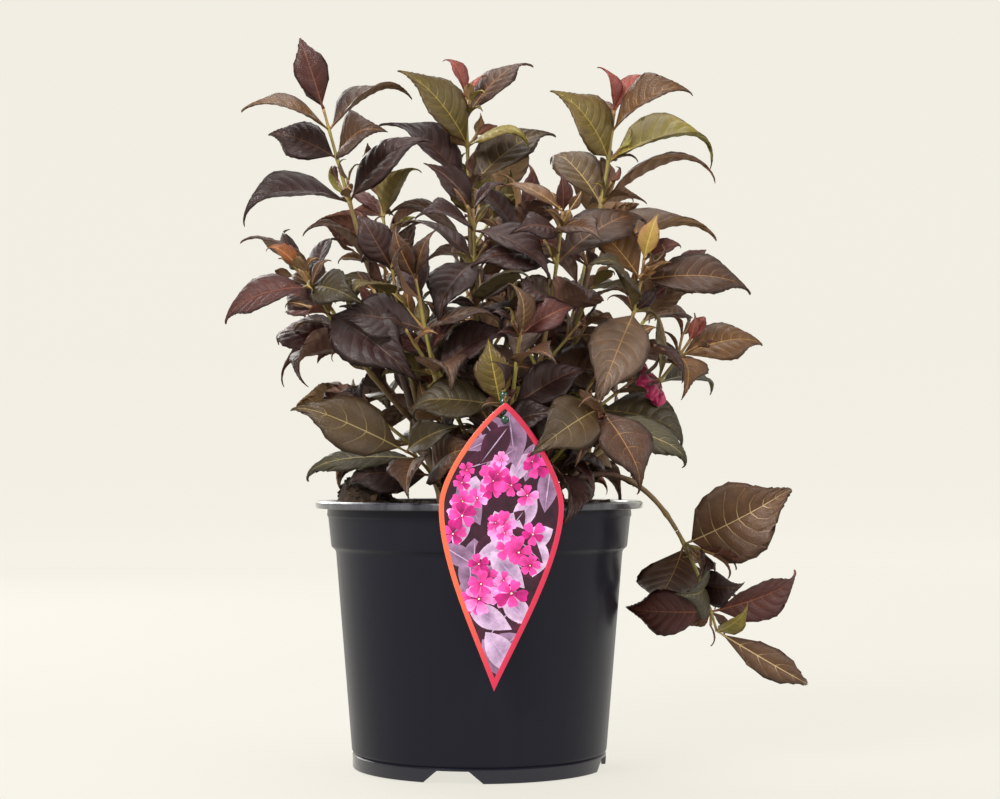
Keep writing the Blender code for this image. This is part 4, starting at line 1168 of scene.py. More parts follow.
def make_pot_finish(colour):
    """Satin black moulded plastic with a fine grain, rubbed streaks, a little dust and a polished lip with
    a painted highlight.
    """
    finish = Finish("pot_plastic", colour, 0.4, Specular_IOR_Level=0.14, Coat_Roughness=0.14,
                    Specular_Tint=(0.8, 0.84, 1.0, 1.0))
    place = finish.place()
    grain = finish.noise(place, 1600.0, 2.0)
    cloud = finish.noise(place, 14.0, 5.0)
    streak = finish.noise(finish.place(scale=(1, 1, 0.05)), 120.0, 3.0)
    height = finish.parts(place)[2]
    dust = ((cloud - 0.5) * 1.4 + (streak - 0.5) * 0.7).within() * 0.4
    low = (1.0 - height / DUST_UP_TO).within()
    dull = tuple(1.8 * channel + 0.003 for channel in colour[:3]) + (1.0,)
    lip = ((height - LIP_FROM) * EDGE_SHARPNESS).within()
    # Painted highlight: the lip is lightened in streaks towards a silvery grey, in place of its reflection
    lip_highlight = (lip * (0.22 + (streak - 0.5) * 1.4)).within()
    body = finish.mix((dust + low * 0.2).within(), colour, dull)
    finish.feed("Base Color", finish.mix(lip_highlight, body, LIP_HIGHLIGHT_COLOUR))
    finish.feed("Roughness", 0.32 + (cloud - 0.5) * 0.16 + (streak - 0.5) * 0.14 + grain * 0.06)
    foot = ((FOOT_UP_TO - height) * EDGE_SHARPNESS).within()
    finish.feed("Coat Weight", lip * 0.95 + foot * 0.6 + 0.08)
    finish.relief(grain + streak * 0.5, 0.1, 0.15 * MM)


def make_compost_finishes(colour, chip_colour):
    """Damp compost, its crumbs and the chips of bark, each with paler patches."""
    for name, base, spread in (("compost_soil", colour, 0.7), ("compost_crumb", colour, 1.0),
                               ("bark_chip", chip_colour, 0.8)):
        finish = Finish(name, base, 0.92, Specular_IOR_Level=0.2)
        place = finish.place()
        patch = finish.noise(place, 230.0, 4.0)
        fine = finish.noise(place, 1500.0, 3.0)
        shade = 0.6 + spread * (patch * 0.9 + (fine - 0.5) * 0.8)
        pale = tuple(2.4 * channel + 0.01 for channel in base[:3]) + (1.0,)
        tinted = finish.mix(((patch - 0.56) * 4).within(), base, pale)
        finish.feed("Base Color", finish.shaded(tinted, shade))
        finish.feed("Roughness", 0.85 + fine * 0.12)
        finish.relief(fine, 0.7, 0.5 * MM)


# How the border turns from crimson to orange, for each metre leftward and upward, and from how far down
BORDER_TURN = (42, 3)
BORDER_TURN_DROP = 50 * MM


def make_label_finishes():
    """The printed card: its border from orange to crimson, and the plain colours of its picture."""
    border = Finish("label_border", paint(226, 36, 84), 0.3, Coat_Weight=0.4)
    across, _, height = border.parts(border.place())
    leftward, upward = LABEL_APEX[0] * MM - across, height - LABEL_APEX[1] * MM
    side = (leftward * BORDER_TURN[0] + (upward + BORDER_TURN_DROP) * BORDER_TURN[1]).within()
    grain = border.noise(border.place(), 900.0)
    tone = border.mix(side, paint(184, 14, 60), paint(210, 90, 56))
    border.feed("Base Color", border.shaded(tone, 0.94 + grain * 0.12))
    border.feed("Roughness", 0.26 + grain * 0.12)
    card = Finish("label_back", paint(236, 232, 230), 0.35)
    card.feed("Roughness", 0.3 + card.noise(card.place(), 400.0) * 0.1)
    for name, inner, outer in LABEL_INKS:
        ink = Finish(name, outer, 0.3, Coat_Weight=0.15, Specular_IOR_Level=0.3)
        share = ink.attribute("ink_share", "Fac")
        speck = ink.noise(ink.place(), 700.0)
        cloud = ink.noise(ink.place(), 170.0, 4.0)
        tone = ink.mix((share + (speck - 0.5) * 0.7 + (cloud - 0.5) * 0.8).within(), inner, outer)
        ink.feed("Base Color", ink.shaded(tone, 0.5 + cloud))
        ink.feed("Roughness", 0.26 + speck * 0.1)


def make_tie_finish():
    """Glossy green plastic."""
    finish = Finish("tie_plastic", paint(16, 72, 40), 0.24, Coat_Weight=0.3)
    patch = finish.noise(finish.place(), 350.0)
    finish.feed("Base Color", finish.mix(patch, paint(6, 42, 30), paint(16, 72, 50)))
    finish.feed("Roughness", 0.18 + patch * 0.14)


LABEL_INKS = (
    ("ink_plum", paint(34, 8, 24), paint(62, 18, 42)),
    ("ink_mauve", paint(86, 58, 84), paint(140, 108, 140)),
    ("ink_lilac", paint(134, 104, 140), paint(190, 162, 192)),
    ("ink_rose", paint(176, 20, 104), paint(222, 70, 158)),
    ("ink_pink", paint(204, 50, 146), paint(236, 146, 206)),
    ("ink_magenta", paint(112, 8, 66), paint(190, 26, 122)),
    ("ink_cream", paint(238, 204, 112), paint(246, 232, 196)),
)


def node_shape(name):
    """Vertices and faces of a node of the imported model."""
    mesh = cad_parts[name].data
    return [v.co.copy() for v in mesh.vertices], [tuple(p.vertices) for p in mesh.polygons]


# Finer growth: small sprigs from the axils that the solids leave bare
SPRIG_LENGTH = (9.0, 17.0)
SPRIG_LEAF = 0.42
SPRIG_PAIRS = 2
SPRIG_FORWARD = 1.1
SPRIG_OUT = 0.8
SPRIGS_PER_LIMB = 5
# Views between the stems, in millimetres across and up, that the finer growth leaves open
OPEN_VIEWS = ((-110, -26, 150, 212), (70, 118, 206, 244))


def fine_shoot(name, limb, line, pairs, leaf_share, heading, crowd):
    """A fine shoot with its leaves, less those whose tips would close an open view."""
    shoot = Shoot(name, limb.name, line, pairs, limb.leaf * leaf_share, heading, small=True)
    for pair in range(pairs):
        for side in (0, 1):
            place_leaf(shoot, pair, side, crowd)
    shoot.leaves = {place: leaf for place, leaf in shoot.leaves.items() if not in_open_view(leaf.tip)}
    return shoot


def in_open_view(point):
    """Whether a point lies in one of the views that stay open."""
    across, up = point.x / MM, point.z / MM
    return any(left < across < right and low < up < high for left, right, low, high in OPEN_VIEWS)


def grow_sprigs(limb, shoot, crowd):
    """Small leafy sprigs from the older axils, kept where they touch nothing."""
    made = []
    chance = random.Random(limb.name + " sprigs")
    nodes = [(pair, side) for pair in range(limb.pairs - 1, 0, -1) for side in (0, 1)]
    for pair, side in nodes:
        if len(made) == SPRIGS_PER_LIMB:
            break
        point, axis, out = shoot.leaf_base(pair, side)
        way = (axis * SPRIG_FORWARD + out * SPRIG_OUT).normalized()
        line = Line(point, (0, 0), point + way * chance.uniform(*SPRIG_LENGTH) * MM)
        heading = chance.uniform(0, 360)
        if room_for_twig(line, limb, crowd):
            name = f"{limb.name} sprig {pair} {side}"
            made.append(fine_shoot(name, limb, line, SPRIG_PAIRS, SPRIG_LEAF, heading, crowd))
    return made


# Low shoots from the bare boughs, in millimetres, which fill the plant's middle
LOW_STEP = (13.0, 22.0)
LOW_ABOVE = 16.0
LOW_LENGTH = (30.0, 44.0)
LOW_LEAF = 0.74
LOW_PAIRS = 3
LOW_FORWARD = (0.4, 1.1)
LOW_TRIES = 4
LOW_MIDDLE = (15.0, 0.0)
LOW_REACH = (60.0, 55.0)


def in_plant_middle(point):
    """Whether a point lies within the oval that the low shoots fill."""
    across, deep = point.x / MM - LOW_MIDDLE[0], point.y / MM - LOW_MIDDLE[1]
    return (across / LOW_REACH[0]) ** 2 + (deep / LOW_REACH[1]) ** 2 < 1


def grow_low_shoots(limb, line, crowd):
    """Short leafy shoots up a limb's bare bough, each turned until it touches nothing."""
    made = []
    chance = random.Random(limb.name + " low")
    place = bough_split(limb) + LOW_STEP[0] * MM
    while place < line.length - LOW_ABOVE * MM:
        point, axis = line.at(place)
        for _ in range(LOW_TRIES):
            heading = chance.uniform(0, 360)
            way = (squared(heading_way(heading), axis) + axis * chance.uniform(*LOW_FORWARD)).normalized()
            end = point + way * chance.uniform(*LOW_LENGTH) * MM
            own = Line(point, (0, 0), end)
            if in_plant_middle(end) and not in_open_view(end) and room_for_twig(own, limb, crowd):
                name = f"{limb.name} low {len(made)}"
                made.append(fine_shoot(name, limb, own, LOW_PAIRS, LOW_LEAF, heading, crowd))
                break
        place += chance.uniform(*LOW_STEP) * MM
    return made


@functools.lru_cache(maxsize=1)
def grown_plant():
    """The whole plant by its rule: each limb's main shoot, and its side shoots, sprigs and low shoots."""
    shoots = main_shoots()
    crowd = crowd_with_stems(shoots, [node_shape(name) for name in OBSTACLES])
    twigs = grow_leaves(shoots, crowd)
    for limb in LIMBS:
        twigs[limb.name] += grow_sprigs(limb, shoots[limb.name], crowd)
    for limb in LIMBS:
        if limb.name != BUD_LIMB:
            twigs[limb.name] += grow_low_shoots(limb, shoots[limb.name].line, crowd)
    return shoots, twigs


OBSTACLES = ("pot", "compost", "label", "label_tie")
REGIONS = {
    "leaves_left": ("upper_left", "far_left", "inner_left", "low_left", "front_left", "sprout_left"),
    "leaves_middle": ("middle", "front_centre", "inner_right", "front_middle", "front_low"),
    "leaves_right": ("upper_right", "centre_right", "right", "far_right", "inner_low_right",
                     "front_right", "low_right"),
    "leaves_back": ("back_left", "back_middle", "back_right", "back_far_left", "back_far_right",
                    "back_low_left", "back_low", "back_low_right"),
}
OLD_TINTS = {"plum": 6.0, "wine": 2.2, "brown": 5.0, "bronze": 1.8, "moss": 2.6, "olive": 1.0,
             "mauve": 0.7, "grey": 0.5}
YOUNG_TINTS = {"wine": 2.6, "brown": 3.0, "bronze": 2.6, "olive": 1.4, "plum": 2.4, "russet": 0.4,
               "green": 0.3, "gold": 0.06, "blush": 0.1}
PLAIN_TINTS = OTHER_TINTS | {f"{seen.limb} {seen.pair} {seen.side}": seen.tint for seen in SEEN_LEAVES}


def tint_of(shoot, pair, side):
    """The tint of a leaf: the one it plainly has, or one dealt out by age."""
    name = f"{shoot.name} {pair} {side}"
    chance = random.Random(name + " tint")
    young = pair < 2 and " low " not in shoot.name
    weights = YOUNG_TINTS if young else OLD_TINTS
    dealt = chance.choices(list(weights), weights.values())[0]
    return PLAIN_TINTS.get(name) or dealt, chance.uniform(-1, 1)


def make_leaf_piece(name, limbs):
    """All the leaves of some limbs as one mesh."""
    shoots, twigs = grown_plant()
    heap = Heap()
    number = 0
    for limb in limbs:
        for shoot in [shoots[limb]] + twigs[limb]:
            for (pair, side), leaf in sorted(shoot.leaves.items()):
                tint, tone = tint_of(shoot, pair, side)
                number += 1
                add_leaf(heap, leaf, f"{shoot.name} {pair} {side}", number, tint, tone)
    return heap.build(name, LEAF_FINISHES)


# Stems as they are seen, in millimetres
STEM_RING_SPACING = 1.6
TWIG_RING_SPACING_SEEN = 2.4
STEM_SIDES = 14
SIDE_STEM_SIDES = 9
NODE_SWELLING = 0.3
NODE_SPREAD = 2.2
RIDGE_HEIGHT = 0.045
RIDGE_WANDER = 17 * MM
RIDGE_TWIST = 40 * MM
BARK_GRAIN = 2.4 * MM
OLD_AGE = 160.0
FLARE_REACH = 3.5 * MM
OLD_NODE_SPACING = 0.8 * LONGEST_INTERNODE * MM


def add_stem(heap, line, far, near, sides, spacing, nodes, foot=False):
    """A stretch of stem between two distances from its tip, ridged, and swollen at its nodes."""
    count = max(3, int((far - near) / (spacing * MM)) + 2)
    places = np.linspace(far, near, count)
    turn = 2 * math.pi * np.arange(sides) / sides
    points = []
    ages = []
    arounds = []
    for index, place in enumerate(places):
        centre, way = line.at(place)
        if foot and index == 0:
            way = UP
        across = squared(LIMB_FIRST, way)
        age = min(place / (OLD_AGE * MM), 2.0)
        radius = limb_radius(place)
        if foot:
            radius *= 1 + (FOOT_FLARE - 1) * math.exp(-(line.length - place) / FLARE_REACH)
        swell = sum(math.exp(-(((place - node) / (NODE_SPREAD * MM)) ** 2)) for node in nodes)
        old = min(age, 1.0)
        wander = 1.4 * math.sin(place / RIDGE_WANDER) + place / RIDGE_TWIST
        ridge = np.sin(3 * turn + wander) * 0.6 + np.sin(7 * turn - 2 * wander) * 0.4
        rough = noise.noise(Vector((place / BARK_GRAIN, radius / MM, 3.0)))
        ring = radius * (1 + NODE_SWELLING * swell + RIDGE_HEIGHT * old * (ridge + 1.4 * rough))
        points += ring_points(centre, across, way.cross(across), ring.tolist())
        ages += [age] * sides
        arounds += ridge.tolist()
    heap.add(points, ring_faces(count, sides), 0, stem_age=ages, stem_around=arounds)


def old_nodes(limb, line):
    """Where leaves once stood on the bare stretch of a limb."""
    return np.arange(bough_split(limb) + OLD_NODE_SPACING * 0.4, line.length, OLD_NODE_SPACING)


def make_boughs():
    """The bare, older stretches of all the limbs."""
    heap = Heap()
    shoots, _ = grown_plant()
    for limb in LIMBS:
        line = shoots[limb.name].line
        add_stem(heap, line, line.length, bough_split(limb), STEM_SIDES, STEM_RING_SPACING,
                 old_nodes(limb, line), is_rooted(limb))
    return heap.build("boughs", ["stem_bark"])


def make_twigs():
    """The leafy stretches of all the limbs, and their side shoots."""
    heap = Heap()
    shoots, twigs = grown_plant()
    for limb in LIMBS:
        shoot = shoots[limb.name]
        add_stem(heap, shoot.line, bough_split(limb) - GAP, 0.0, STEM_SIDES - 2, TWIG_RING_SPACING_SEEN,
                 shoot.places)
        for twig in twigs[limb.name]:
            add_stem(heap, twig.line, twig.line.length, 0.0, SIDE_STEM_SIDES, TWIG_RING_SPACING_SEEN,
                     twig.places)
    return heap.build("twigs", ["stem_bark"])


# Tubular flowers, closed and wilting: shares of their length and radius from the foot to the lips
BUD_PROFILE = ((0.0, 0.24), (0.18, 0.27), (0.36, 0.34), (0.5, 0.52), (0.64, 0.86), (0.78, 1.0),
               (0.88, 0.9), (0.95, 0.62), (1.0, 0.2))
BUD_SIDES_SEEN = 30
BUD_PLEATS = 5
BUD_FULLNESS = 1.55
SEEN_BUD_HEADINGS = ((196, 36), (222, 6), (246, -22), (268, -44))
BUD_RINGS = 22
BUD_PLEAT_DEPTH = 0.2
BUD_PLEAT_TWIST = 2.2
BUD_CRUMPLE = 0.08
BUD_CREASES = 9
BUD_CREASE_TWIST = 14
BUD_SAG = 2.6 * MM
BUD_SPREAD = 0.9 * MM
BUD_SHORTENING = 0.07
CALYX_TEETH = 5
# A sepal's sections: how far along the flower and off its middle each one lies, and its half breadth
SEPAL_STATIONS = ((0.3, 0.75, 0.55), (2.2, 1.0, 0.62), (4.6, 1.35, 0.4), (6.6, 1.7, 0.06))
SEPAL_OUTER = 0.22 * MM
SEPAL_INNER = 0.18 * MM


def make_buds():
    """Crimson tubular flowers, pleated along their five lobes, each in a small toothed calyx."""
    shoot = grown_plant()[0][BUD_LIMB]
    point, _ = shoot.line.at(shoot.places[BUD_NODE])
    heap = Heap()
    shares = np.linspace(0, 1, BUD_RINGS)
    profile = np.interp(shares, *zip(*BUD_PROFILE))
    turn = 2 * math.pi * np.arange(BUD_SIDES_SEEN) / BUD_SIDES_SEEN
    for number, (heading, rise) in enumerate(SEEN_BUD_HEADINGS):
        way = heading_way(heading, rise)
        length = BUD_LENGTH * MM * (1 - BUD_SHORTENING * number)
        across = way.cross(UP).normalized()
        other = way.cross(across)
        points = []
        for share, thick in zip(shares, profile):
            sag = (across * (number - 1.5) * BUD_SPREAD - UP * BUD_SAG) * share ** 2
            pleats = np.cos(BUD_PLEATS * turn + BUD_PLEAT_TWIST * share + number)
            pleat = 1 + BUD_PLEAT_DEPTH * share * pleats
            creases = np.sin(BUD_CREASES * turn + BUD_CREASE_TWIST * share + 2 * number)
            crumple = BUD_CRUMPLE * share * creases
            ring = BUD_RADIUS * BUD_FULLNESS * MM * thick * (pleat + crumple)
            points += ring_points(point + way * length * share + sag, across, other, ring.tolist())
        heap.add(points, ring_faces(len(shares), BUD_SIDES_SEEN), 0,
                 bud_along=np.repeat(shares, BUD_SIDES_SEEN))
        add_calyx(heap, point, way, across, other)
    return heap.build("flower_buds", ["bud_petal", "bud_calyx"])


def add_calyx(heap, point, way, across, other):
    """Five narrow sepals round a flower's foot."""
    for tooth in range(CALYX_TEETH):
        angle = 2 * math.pi * tooth / CALYX_TEETH
        out = math.cos(angle) * across + math.sin(angle) * other
        beside = way.cross(out)
        points = []
        for along, off, half in SEPAL_STATIONS:
            centre = point + (way * along + out * off) * MM
            points += [centre + beside * half * MM, centre + out * SEPAL_OUTER,
                       centre - beside * half * MM, centre - out * SEPAL_INNER]
        heap.add(points, ring_faces(len(SEPAL_STATIONS), 4), 1, bud_along=[0.0] * len(points))


def plain_piece(name, vertices, faces, finish, angle=None):
    """A closed piece with one finish, its faces turned outwards."""
    mesh = bpy.data.meshes.new(name)
    work = bmesh.new()
    corners = [work.verts.new(point) for point in vertices]
    for face in faces:
        work.faces.new([corners[index] for index in face])
    bmesh.ops.recalc_face_normals(work, faces=work.faces)
    work.to_mesh(mesh)
    work.free()
    if angle:
        mesh.shade_smooth()
        mesh.set_sharp_from_angle(angle=math.radians(angle))
    mesh.materials.append(bpy.data.materials[finish])
    return put_in_scene(name, mesh)


def settled(obj):
    """The object with its modifiers worked into a plain mesh."""
    graph = bpy.context.evaluated_depsgraph_get()
    mesh = bpy.data.meshes.new_from_object(obj.evaluated_get(graph))
    obj.modifiers.clear()
    obj.data = mesh
    return obj


def rounded(profile, sharp, steps=4):
    """A profile with the corners numbered in sharp worked into short arcs of the given reach."""
    out = []
    for index, point in enumerate(profile):
        reach = sharp.get(index)
        if reach is None:
            out.append(point)
            continue
        here = Vector(point)
        before = here + (Vector(profile[index - 1]) - here).normalized() * reach
        after = here + (Vector(profile[index + 1]) - here).normalized() * reach
        for step in range(steps + 1):
            bent = bezier([before, here, after], step / steps)
            out.append((bent.x, bent.y))
    return out


POT_SEEN_SEGMENTS = 176
POT_SHARP_FROM = 38
NOTCH_CORNER = (1.5, 1.2)
POT_ROUNDING = {5: 0.7, 8: 0.9, 9: 2.0, 10: 1.2, 11: 0.5, 12: 0.4, 13: 0.8, 14: 0.6, 17: 1.0}


def make_pot_piece():
    """The pot with round lip, step and foot, and its drain notches."""
    profile = rounded(POT_OUTSIDE, POT_ROUNDING) + list(POT_INSIDE)
    pot = plain_piece("nursery_pot", *turned(profile, POT_SEEN_SEGMENTS), "pot_plastic", POT_SHARP_FROM)
    cutters = []
    slope = (NOTCH_FOOT_WIDTH - NOTCH_TOP_WIDTH) / 2 / NOTCH_HEIGHT
    foot_half = NOTCH_FOOT_WIDTH / 2 - slope * NOTCH_BELOW
    top_half = NOTCH_TOP_WIDTH / 2
    shoulder = (top_half + NOTCH_CORNER[0], NOTCH_HEIGHT - NOTCH_CORNER[1])
    half = [(foot_half, NOTCH_BELOW), shoulder, (top_half, NOTCH_HEIGHT)]
    section = [(-foot_half, NOTCH_BELOW)] + half + [(-x, z) for x, z in half[:0:-1]]
    for number in range(NOTCH_COUNT):
        spin = Matrix.Rotation(math.radians(NOTCH_FIRST + 360 * number / NOTCH_COUNT), 4, "Z")
        vertices = [spin @ (Vector((x, y, z)) * MM) for x in NOTCH_REACH for y, z in section]
        cutter = plain_piece(f"notch_{number}", vertices, ring_faces(2, len(section)), "pot_plastic")
        cut = pot.modifiers.new(cutter.name, "BOOLEAN")
        cut.operation = "DIFFERENCE"
        cut.object = cutter
        cutters.append(cutter)
    settled(pot)
    for cutter in cutters:
        bpy.data.objects.remove(cutter, do_unlink=True)
    return pot


# Compost as it is seen, in millimetres
SOIL_RINGS = 46
SOIL_SEGMENTS = 150
SOIL_DEPTH = 15.0
SEEN_MOUND_AT = (-70.0, -25.0)
SEEN_MOUND_HEIGHT = 16.0
SEEN_MOUND_SPREAD = 20.0
SOIL_REACH = 86.0
SOIL_FALL = 6.0
SOIL_SWELL = 4.0
SOIL_ROUGHNESS = 0.35
SOIL_SINKING = 0.5
SOIL_EDGE_SHARE = 0.9
SOIL_FOOT_SHARE = 0.97
SOIL_SHARP_FROM = 60
# The soil's lumps: how broad they are, their place in the noise and their height
SOIL_LUMPS = ((7, 0, 1.1), (2.4, 5, 0.6))
# Lumps of compost and bark: how level the ground under them is, how far they are crushed, and the least
# and largest of their three breadths and of their turns
TOP_FROM = 0.5
LUMP_CRUSH = 0.9
LUMP_SHAPES = ((0.6, 0.6, 0.4), (1.3, 1.0, 0.9))
LUMP_TURNS = ((-0.7, -0.7, 0.0), (0.7, 0.7, 2 * math.pi))
LUMP_NOISE = 1.7
LUMP_SEEDS = (7, 11)


def soil_level(x, y):
    """The compost's height: level about the stems, with a mound at the left front and small lumps."""
    away = min(max((math.hypot(x, y) - PLATEAU) / PLATEAU_SLOPE, 0.0), 1.0)
    from_mound = math.hypot(x - SEEN_MOUND_AT[0], y - SEEN_MOUND_AT[1])
    mound = SEEN_MOUND_HEIGHT * math.exp(-((from_mound / SEEN_MOUND_SPREAD) ** 2))
    lumps = sum(height * noise.noise(Vector((x / breadth, y / breadth, level)))
                for breadth, level, height in SOIL_LUMPS)
    away *= min((SOIL_REACH - math.hypot(x, y)) / SOIL_FALL, 1.0)
    raised = away * (mound + SOIL_SWELL)
    return COMPOST_LEVEL + raised + lumps * (SOIL_ROUGHNESS + (1 - SOIL_ROUGHNESS) * away) - SOIL_SINKING


def make_soil_piece():
    """The compost's lumpy top on a closed plug."""
    (upper, _), (lower, _) = POT_INSIDE[:2]
    edge = lower + (upper - lower) * SOIL_EDGE_SHARE
    depth = COMPOST_LEVEL - SOIL_DEPTH
    profile = [(0, depth), (edge * SOIL_FOOT_SHARE, depth)]
    profile += [(edge * (SOIL_RINGS - ring) / SOIL_RINGS, COMPOST_LEVEL) for ring in range(SOIL_RINGS)]
    profile.append((0, COMPOST_LEVEL))
    vertices, faces = turned(profile, SOIL_SEGMENTS)
    for point in vertices:
        if abs(point.z - COMPOST_LEVEL * MM) < CLOSE:
            point.z = soil_level(point.x / MM, point.y / MM) * MM
    return plain_piece("compost_soil", vertices, faces, "compost_soil", SOIL_SHARP_FROM)


class PieceNodes:
    """A Geometry Nodes tree that is being made: named inputs, and nodes with their settings and links."""

    def __init__(self, name, inputs):
        self.tree = bpy.data.node_groups.new(name, "GeometryNodeTree")
        self.keys = {}
        for label, kind, default in inputs:
            socket = self.tree.interface.new_socket(name=label, in_out="INPUT", socket_type=kind)
            self.keys[label] = socket.identifier
            if default is not None:
                socket.default_value = default
        self.tree.interface.new_socket(name="Piece", in_out="OUTPUT", socket_type="NodeSocketGeometry")
        self.given = self.tree.nodes.new("NodeGroupInput").outputs

    def add(self, kind, settings, inputs, output=0):
        """One node with its settings and the values or links of its inputs; returns one of its outputs."""
        made = self.tree.nodes.new(kind)
        for key, value in settings.items():
            setattr(made, key, value)
        for key, value in inputs.items():
            if isinstance(value, bpy.types.NodeSocket):
                self.tree.links.new(value, made.inputs[key])
            else:
                made.inputs[key].default_value = value
        return made.outputs[output]

    def work_on(self, piece, instances, finish, values):
        """Ends the tree by making its instances real in a finish, and works it into the piece's mesh."""
        real = self.add("GeometryNodeRealizeInstances", {}, {0: instances})
        coloured = self.add("GeometryNodeSetMaterial", {}, {
            "Geometry": real, "Material": bpy.data.materials[finish]})
        self.tree.links.new(coloured, self.tree.nodes.new("NodeGroupOutput").inputs[0])
        worked = piece.modifiers.new("nodes", "NODES")
        worked.node_group = self.tree
        for label, value in values.items():
            worked[self.keys[label]] = value
        return settled(piece)


def scatter(name, surface, finish, values):
    """A piece made of lumps strewn over the top of another piece, each its own size and turn."""
    nodes = PieceNodes(name + "_nodes", (
        ("Surface", "NodeSocketGeometry", None),
        ("Lumps per square metre", "NodeSocketFloat", 90000.0),
        ("Least size", "NodeSocketFloat", 1.0 * MM),
        ("Largest size", "NodeSocketFloat", 3.0 * MM),
        ("Flatness", "NodeSocketFloat", 0.8),
        ("Seed", "NodeSocketInt", 1),
    ))
    add, given = nodes.add, nodes.given

    def arithmetic(operation, inputs):
        return add("ShaderNodeVectorMath", {"operation": operation}, inputs)

    def random_vector(least, most, seed):
        return add("FunctionNodeRandomValue", {"data_type": "FLOAT_VECTOR"}, {
            0: least, 1: most, "Seed": seed})

    height = add("ShaderNodeSeparateXYZ", {}, {0: add("GeometryNodeInputNormal", {}, {})}, "Z")
    top = add("FunctionNodeCompare", {"operation": "GREATER_THAN"}, {"A": height, "B": TOP_FROM})
    spread = add("GeometryNodeDistributePointsOnFaces", {}, {
        "Mesh": given["Surface"], "Selection": top, "Density": given["Lumps per square metre"],
        "Seed": given["Seed"]}, "Points")
    lump = add("GeometryNodeMeshIcoSphere", {}, {"Radius": 0.5, "Subdivisions": 1}, "Mesh")
    crush = add("ShaderNodeTexNoise", {"noise_dimensions": "3D"}, {"Scale": LUMP_NOISE}, "Color")
    shift = arithmetic("SUBTRACT", {0: crush, 1: (0.5, 0.5, 0.5)})
    crushed = add("GeometryNodeSetPosition", {}, {
        "Geometry": lump, "Offset": arithmetic("SCALE", {0: shift, "Scale": LUMP_CRUSH})})
    size = add("FunctionNodeRandomValue", {"data_type": "FLOAT"}, {
        2: given["Least size"], 3: given["Largest size"], "Seed": given["Seed"]}, 1)
    flat = add("ShaderNodeCombineXYZ", {}, {"X": 1.0, "Y": 1.0, "Z": given["Flatness"]})
    form = arithmetic("MULTIPLY", {0: random_vector(*LUMP_SHAPES, LUMP_SEEDS[0]), 1: flat})
    placed = add("GeometryNodeInstanceOnPoints", {}, {
        "Points": spread, "Instance": crushed, "Scale": arithmetic("SCALE", {0: form, "Scale": size}),
        "Rotation": random_vector(*LUMP_TURNS, LUMP_SEEDS[1])})
    return nodes.work_on(put_in_scene(name, surface.data.copy()), placed, finish, values)


# The label as it is seen, in millimetres across and down from its apex
LABEL_BORDER = 2.8
PRINT_RISE = 0.04
PRINT_STEP = 0.001
BEAD_RADIUS = 0.16
BEAD_SPACING = 1.5
BEAD_LEVEL = 0.25

# The picture: leaves and blossoms strewn down the card, in millimetres from its apex
PRINT_SEED = 12
PRINT_LEAF_COUNT = 60
PRINT_LEAF_RUN = (14.0, 140.0)
PRINT_LEAF_LENGTH = (18.0, 32.0)
PRINT_LEAF_SLIMNESS = (0.42, 0.56)
PRINT_LEAF_FOOT = 0.45
PRINT_LEAF_STEPS = 9
PRINT_LEAF_FULLNESS = 0.85
PRINT_LEAF_TURN = (-1.3, 1.3)
PRINT_MIDRIB_SHARE = 0.9
PRINT_PETAL_SWAY = (-7, 7)
PRINT_PETAL_REACH = (0.8, 1.05)
PRINT_MIDRIB = 0.6
PRINT_FLOWER_COUNT = 34
PRINT_FLOWER_RUN = (26.0, 108.0)
PRINT_FLOWER_RADIUS = (4.5, 9.5)
PRINT_MARGIN = 6.0
PRINT_THROAT = (0.13, 0.2)
PRINT_EYE = 0.06
PRINT_LEAF_INKS = ("ink_mauve", "ink_mauve", "ink_lilac", "ink_plum")
PRINT_PETAL_INKS = (("ink_pink", "ink_rose"), ("ink_rose", "ink_magenta"), ("ink_pink", "ink_pink"),
                    ("ink_rose", "ink_rose"), ("ink_magenta", "ink_rose"))
# Half a petal: places along it and its half breadths, as shares of the flower's radius
PETAL_HALF = ((0.1, 0.05), (0.35, 0.22), (0.62, 0.36), (0.85, 0.36), (0.98, 0.22))
PETAL_NOTCH = (0.93, 0.0)
OUTLINE_STEPS = 24
BORDER_STEPS = 240
BEAD_PATH_STEPS = 300
BORDER_RISE = 0.26
BORDER_SHOULDER = 0.25
BORDER_SHARP_FROM = 35
LABEL_EDGE = 0.02
PLATE_FOOT = 0.1
PRINT_GROUND_SHARE = 0.3
# Steps by which a point of the print is drawn in, until it lies this far under the border
KEPT_STEPS = 28
KEPT_UNDER = 0.6


def half_width(down, inset=0.0):
    """Half the label's width at a distance down from its apex, less an inset from its edge."""
    width = np.interp(down, [point.y for point in OUTLINE], [point.x for point in OUTLINE])
    return max(width - inset, 0.0)


def smooth_outline():
    """Half of the label's outline in fine steps, from apex to foot."""
    half = []
    for curve in (LABEL_SHOULDER, LABEL_FLANK):
        corners = [Vector(point) for point in curve]
        half += [bezier(corners, step / OUTLINE_STEPS) for step in range(OUTLINE_STEPS)]
    return half + [Vector((0, LABEL_LENGTH))]


OUTLINE = smooth_outline()


def full_outline(inset):
    """The label's outline drawn in by an inset, once round."""
    drawn = []
    for before, here, after in zip(OUTLINE, OUTLINE[1:], OUTLINE[2:]):
        way = (after - before).normalized()
        drawn.append(here + Vector((-way.y, way.x)) * inset)
    first = Vector((0, inset / Vector(LABEL_SHOULDER[1]).normalized().x))
    last = Vector((0, LABEL_LENGTH - inset / abs((OUTLINE[-1] - OUTLINE[-2]).normalized().x)))
    half = [point for point in drawn if point.x > 0.05 and first.y < point.y < last.y]
    return [first] + half + [last] + [Vector((-point.x, point.y)) for point in reversed(half)]


